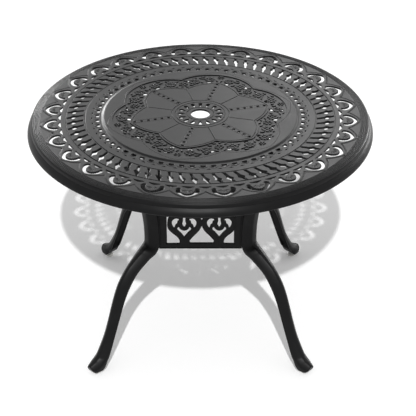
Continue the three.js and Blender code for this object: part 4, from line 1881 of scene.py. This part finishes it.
@dataclass
class Studio:
    """Floor, light and camera."""

    camera_place: tuple[float, float, float] = (0.0, -3.4992, 2.6016)
    camera_down: float = 32.146
    camera_turn: float = 0.3987
    camera_roll: float = 0.168
    lens: float = 111.384
    sensor: float = 36.0
    view_limit: float = 200.0
    key_elevation: float = 47.4
    key_strength: float = 2.30
    key_width: float = 1.2
    floor_size: float = 30.0
    softbox_aim: float = 0.745
    softbox_distance: float = 4.2
    sky: float = 0.58

    # name, degrees to the right of straight behind the table, degrees above the top, size, brightness
    softboxes: tuple[tuple[str, float, float, Point2, float], ...] = (
        ("left softbox", -27.0, 16.0, (0.95, 1.5), 30.0),
        ("right softbox", 15.0, 32.0, (1.5, 1.5), 8.0),
        ("far right softbox", 46.0, 12.0, (1.3, 1.5), 20.0),
        ("back softbox", -8.0, 32.0, (1.6, 1.7), 2.0),
        ("top softbox", -4.0, 70.0, (1.9, 1.5), 3.6),
    )

    def camera(self) -> None:
        """Camera at the photo's angle."""
        data = bpy.data.cameras.new("camera")
        data.lens = self.lens
        data.sensor_width = self.sensor
        data.clip_end = self.view_limit
        made = put_in_scene("camera", data)
        made.location = self.camera_place
        tilt = Quaternion((1, 0, 0), math.radians(90.0 - self.camera_down))
        turn = Quaternion((0, 0, 1), -math.radians(self.camera_turn))
        roll = Quaternion((0, 0, 1), math.radians(self.camera_roll))
        made.rotation_mode = "QUATERNION"
        made.rotation_quaternion = turn @ tilt @ roll
        bpy.context.scene.camera = made

    def key(self) -> None:
        """Sun-like key from behind the camera."""
        data = bpy.data.lights.new("key", "SUN")
        data.energy = self.key_strength
        data.angle = math.radians(self.key_width)
        made = put_in_scene("key", data)
        made.rotation_euler = (math.radians(90.0 - self.key_elevation), 0.0, 0.0)

    def softbox(self, name: str, turn: float, lift: float, size: Point2, radiance: float) -> None:
        """Soft panel that faces the table top; its sheen draws the edges of the castings.

        Args:
            name: the panel's name.
            turn: degrees to the right of straight behind the table.
            lift: degrees above the top.
            size: width and height.
            radiance: brightness of its face.
        """
        data = bpy.data.lights.new(name, "AREA")
        data.shape = "RECTANGLE"
        data.size, data.size_y = size
        data.energy = radiance * math.pi * size[0] * size[1]
        made = put_in_scene(name, data)
        side, depth = math.sin(math.radians(turn)), math.cos(math.radians(turn))
        flat, rise = math.cos(math.radians(lift)), math.sin(math.radians(lift))
        way = Vector((side * flat, depth * flat, rise))
        made.location = Vector((0.0, 0.0, self.softbox_aim)) + self.softbox_distance * way
        made.rotation_euler = way.to_track_quat("Z", "Y").to_euler()
        made.visible_camera = False
        made.visible_diffuse = False

    def world(self) -> None:
        """Plain surroundings, white where they are seen."""
        made = bpy.data.worlds.new("studio")
        made.use_nodes = True
        bpy.context.scene.world = made
        graph = Graph(made.node_tree)
        strength = graph.seen_rays() * (1.0 - self.sky) + self.sky
        inputs = {"Color": (1.0, 1.0, 1.0, 1.0), "Strength": strength}
        sky = graph.node("ShaderNodeBackground", inputs=inputs)
        graph.node("ShaderNodeOutputWorld", inputs={"Surface": sky})

    def floor(self) -> None:
        """Plain white floor."""
        half = self.floor_size / 2
        points = [(-half, -half, 0.0), (half, -half, 0.0), (half, half, 0.0), (-half, half, 0.0)]
        mesh = bpy.data.meshes.new("floor")
        mesh.from_pydata(points, [], [(0, 1, 2, 3)])
        mesh.materials.append(WhiteFloor().material())
        put_in_scene("floor", mesh)

    def build(self) -> None:
        """Sets up the studio."""
        bpy.context.scene.view_settings.view_transform = "Standard"
        self.camera()
        self.key()
        for row in self.softboxes:
            self.softbox(*row)
        self.world()
        self.floor()


def corners(box: tuple[Vector, Vector]) -> list[list[float]]:
    """Box as plain lists."""
    return [list(box[0]), list(box[1])]


def main() -> None:
    """Builds the studio and the table."""
    logging.basicConfig(level=logging.INFO, format="%(message)s")
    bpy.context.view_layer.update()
    Studio().build()
    bench = Bench()
    TableTop().build(bench)
    for corner in Corner:
        for part in (Leg(), Apron(), Foot(), Screws()):
            part.build(bench, corner)


if __name__ == "__main__":
    main()
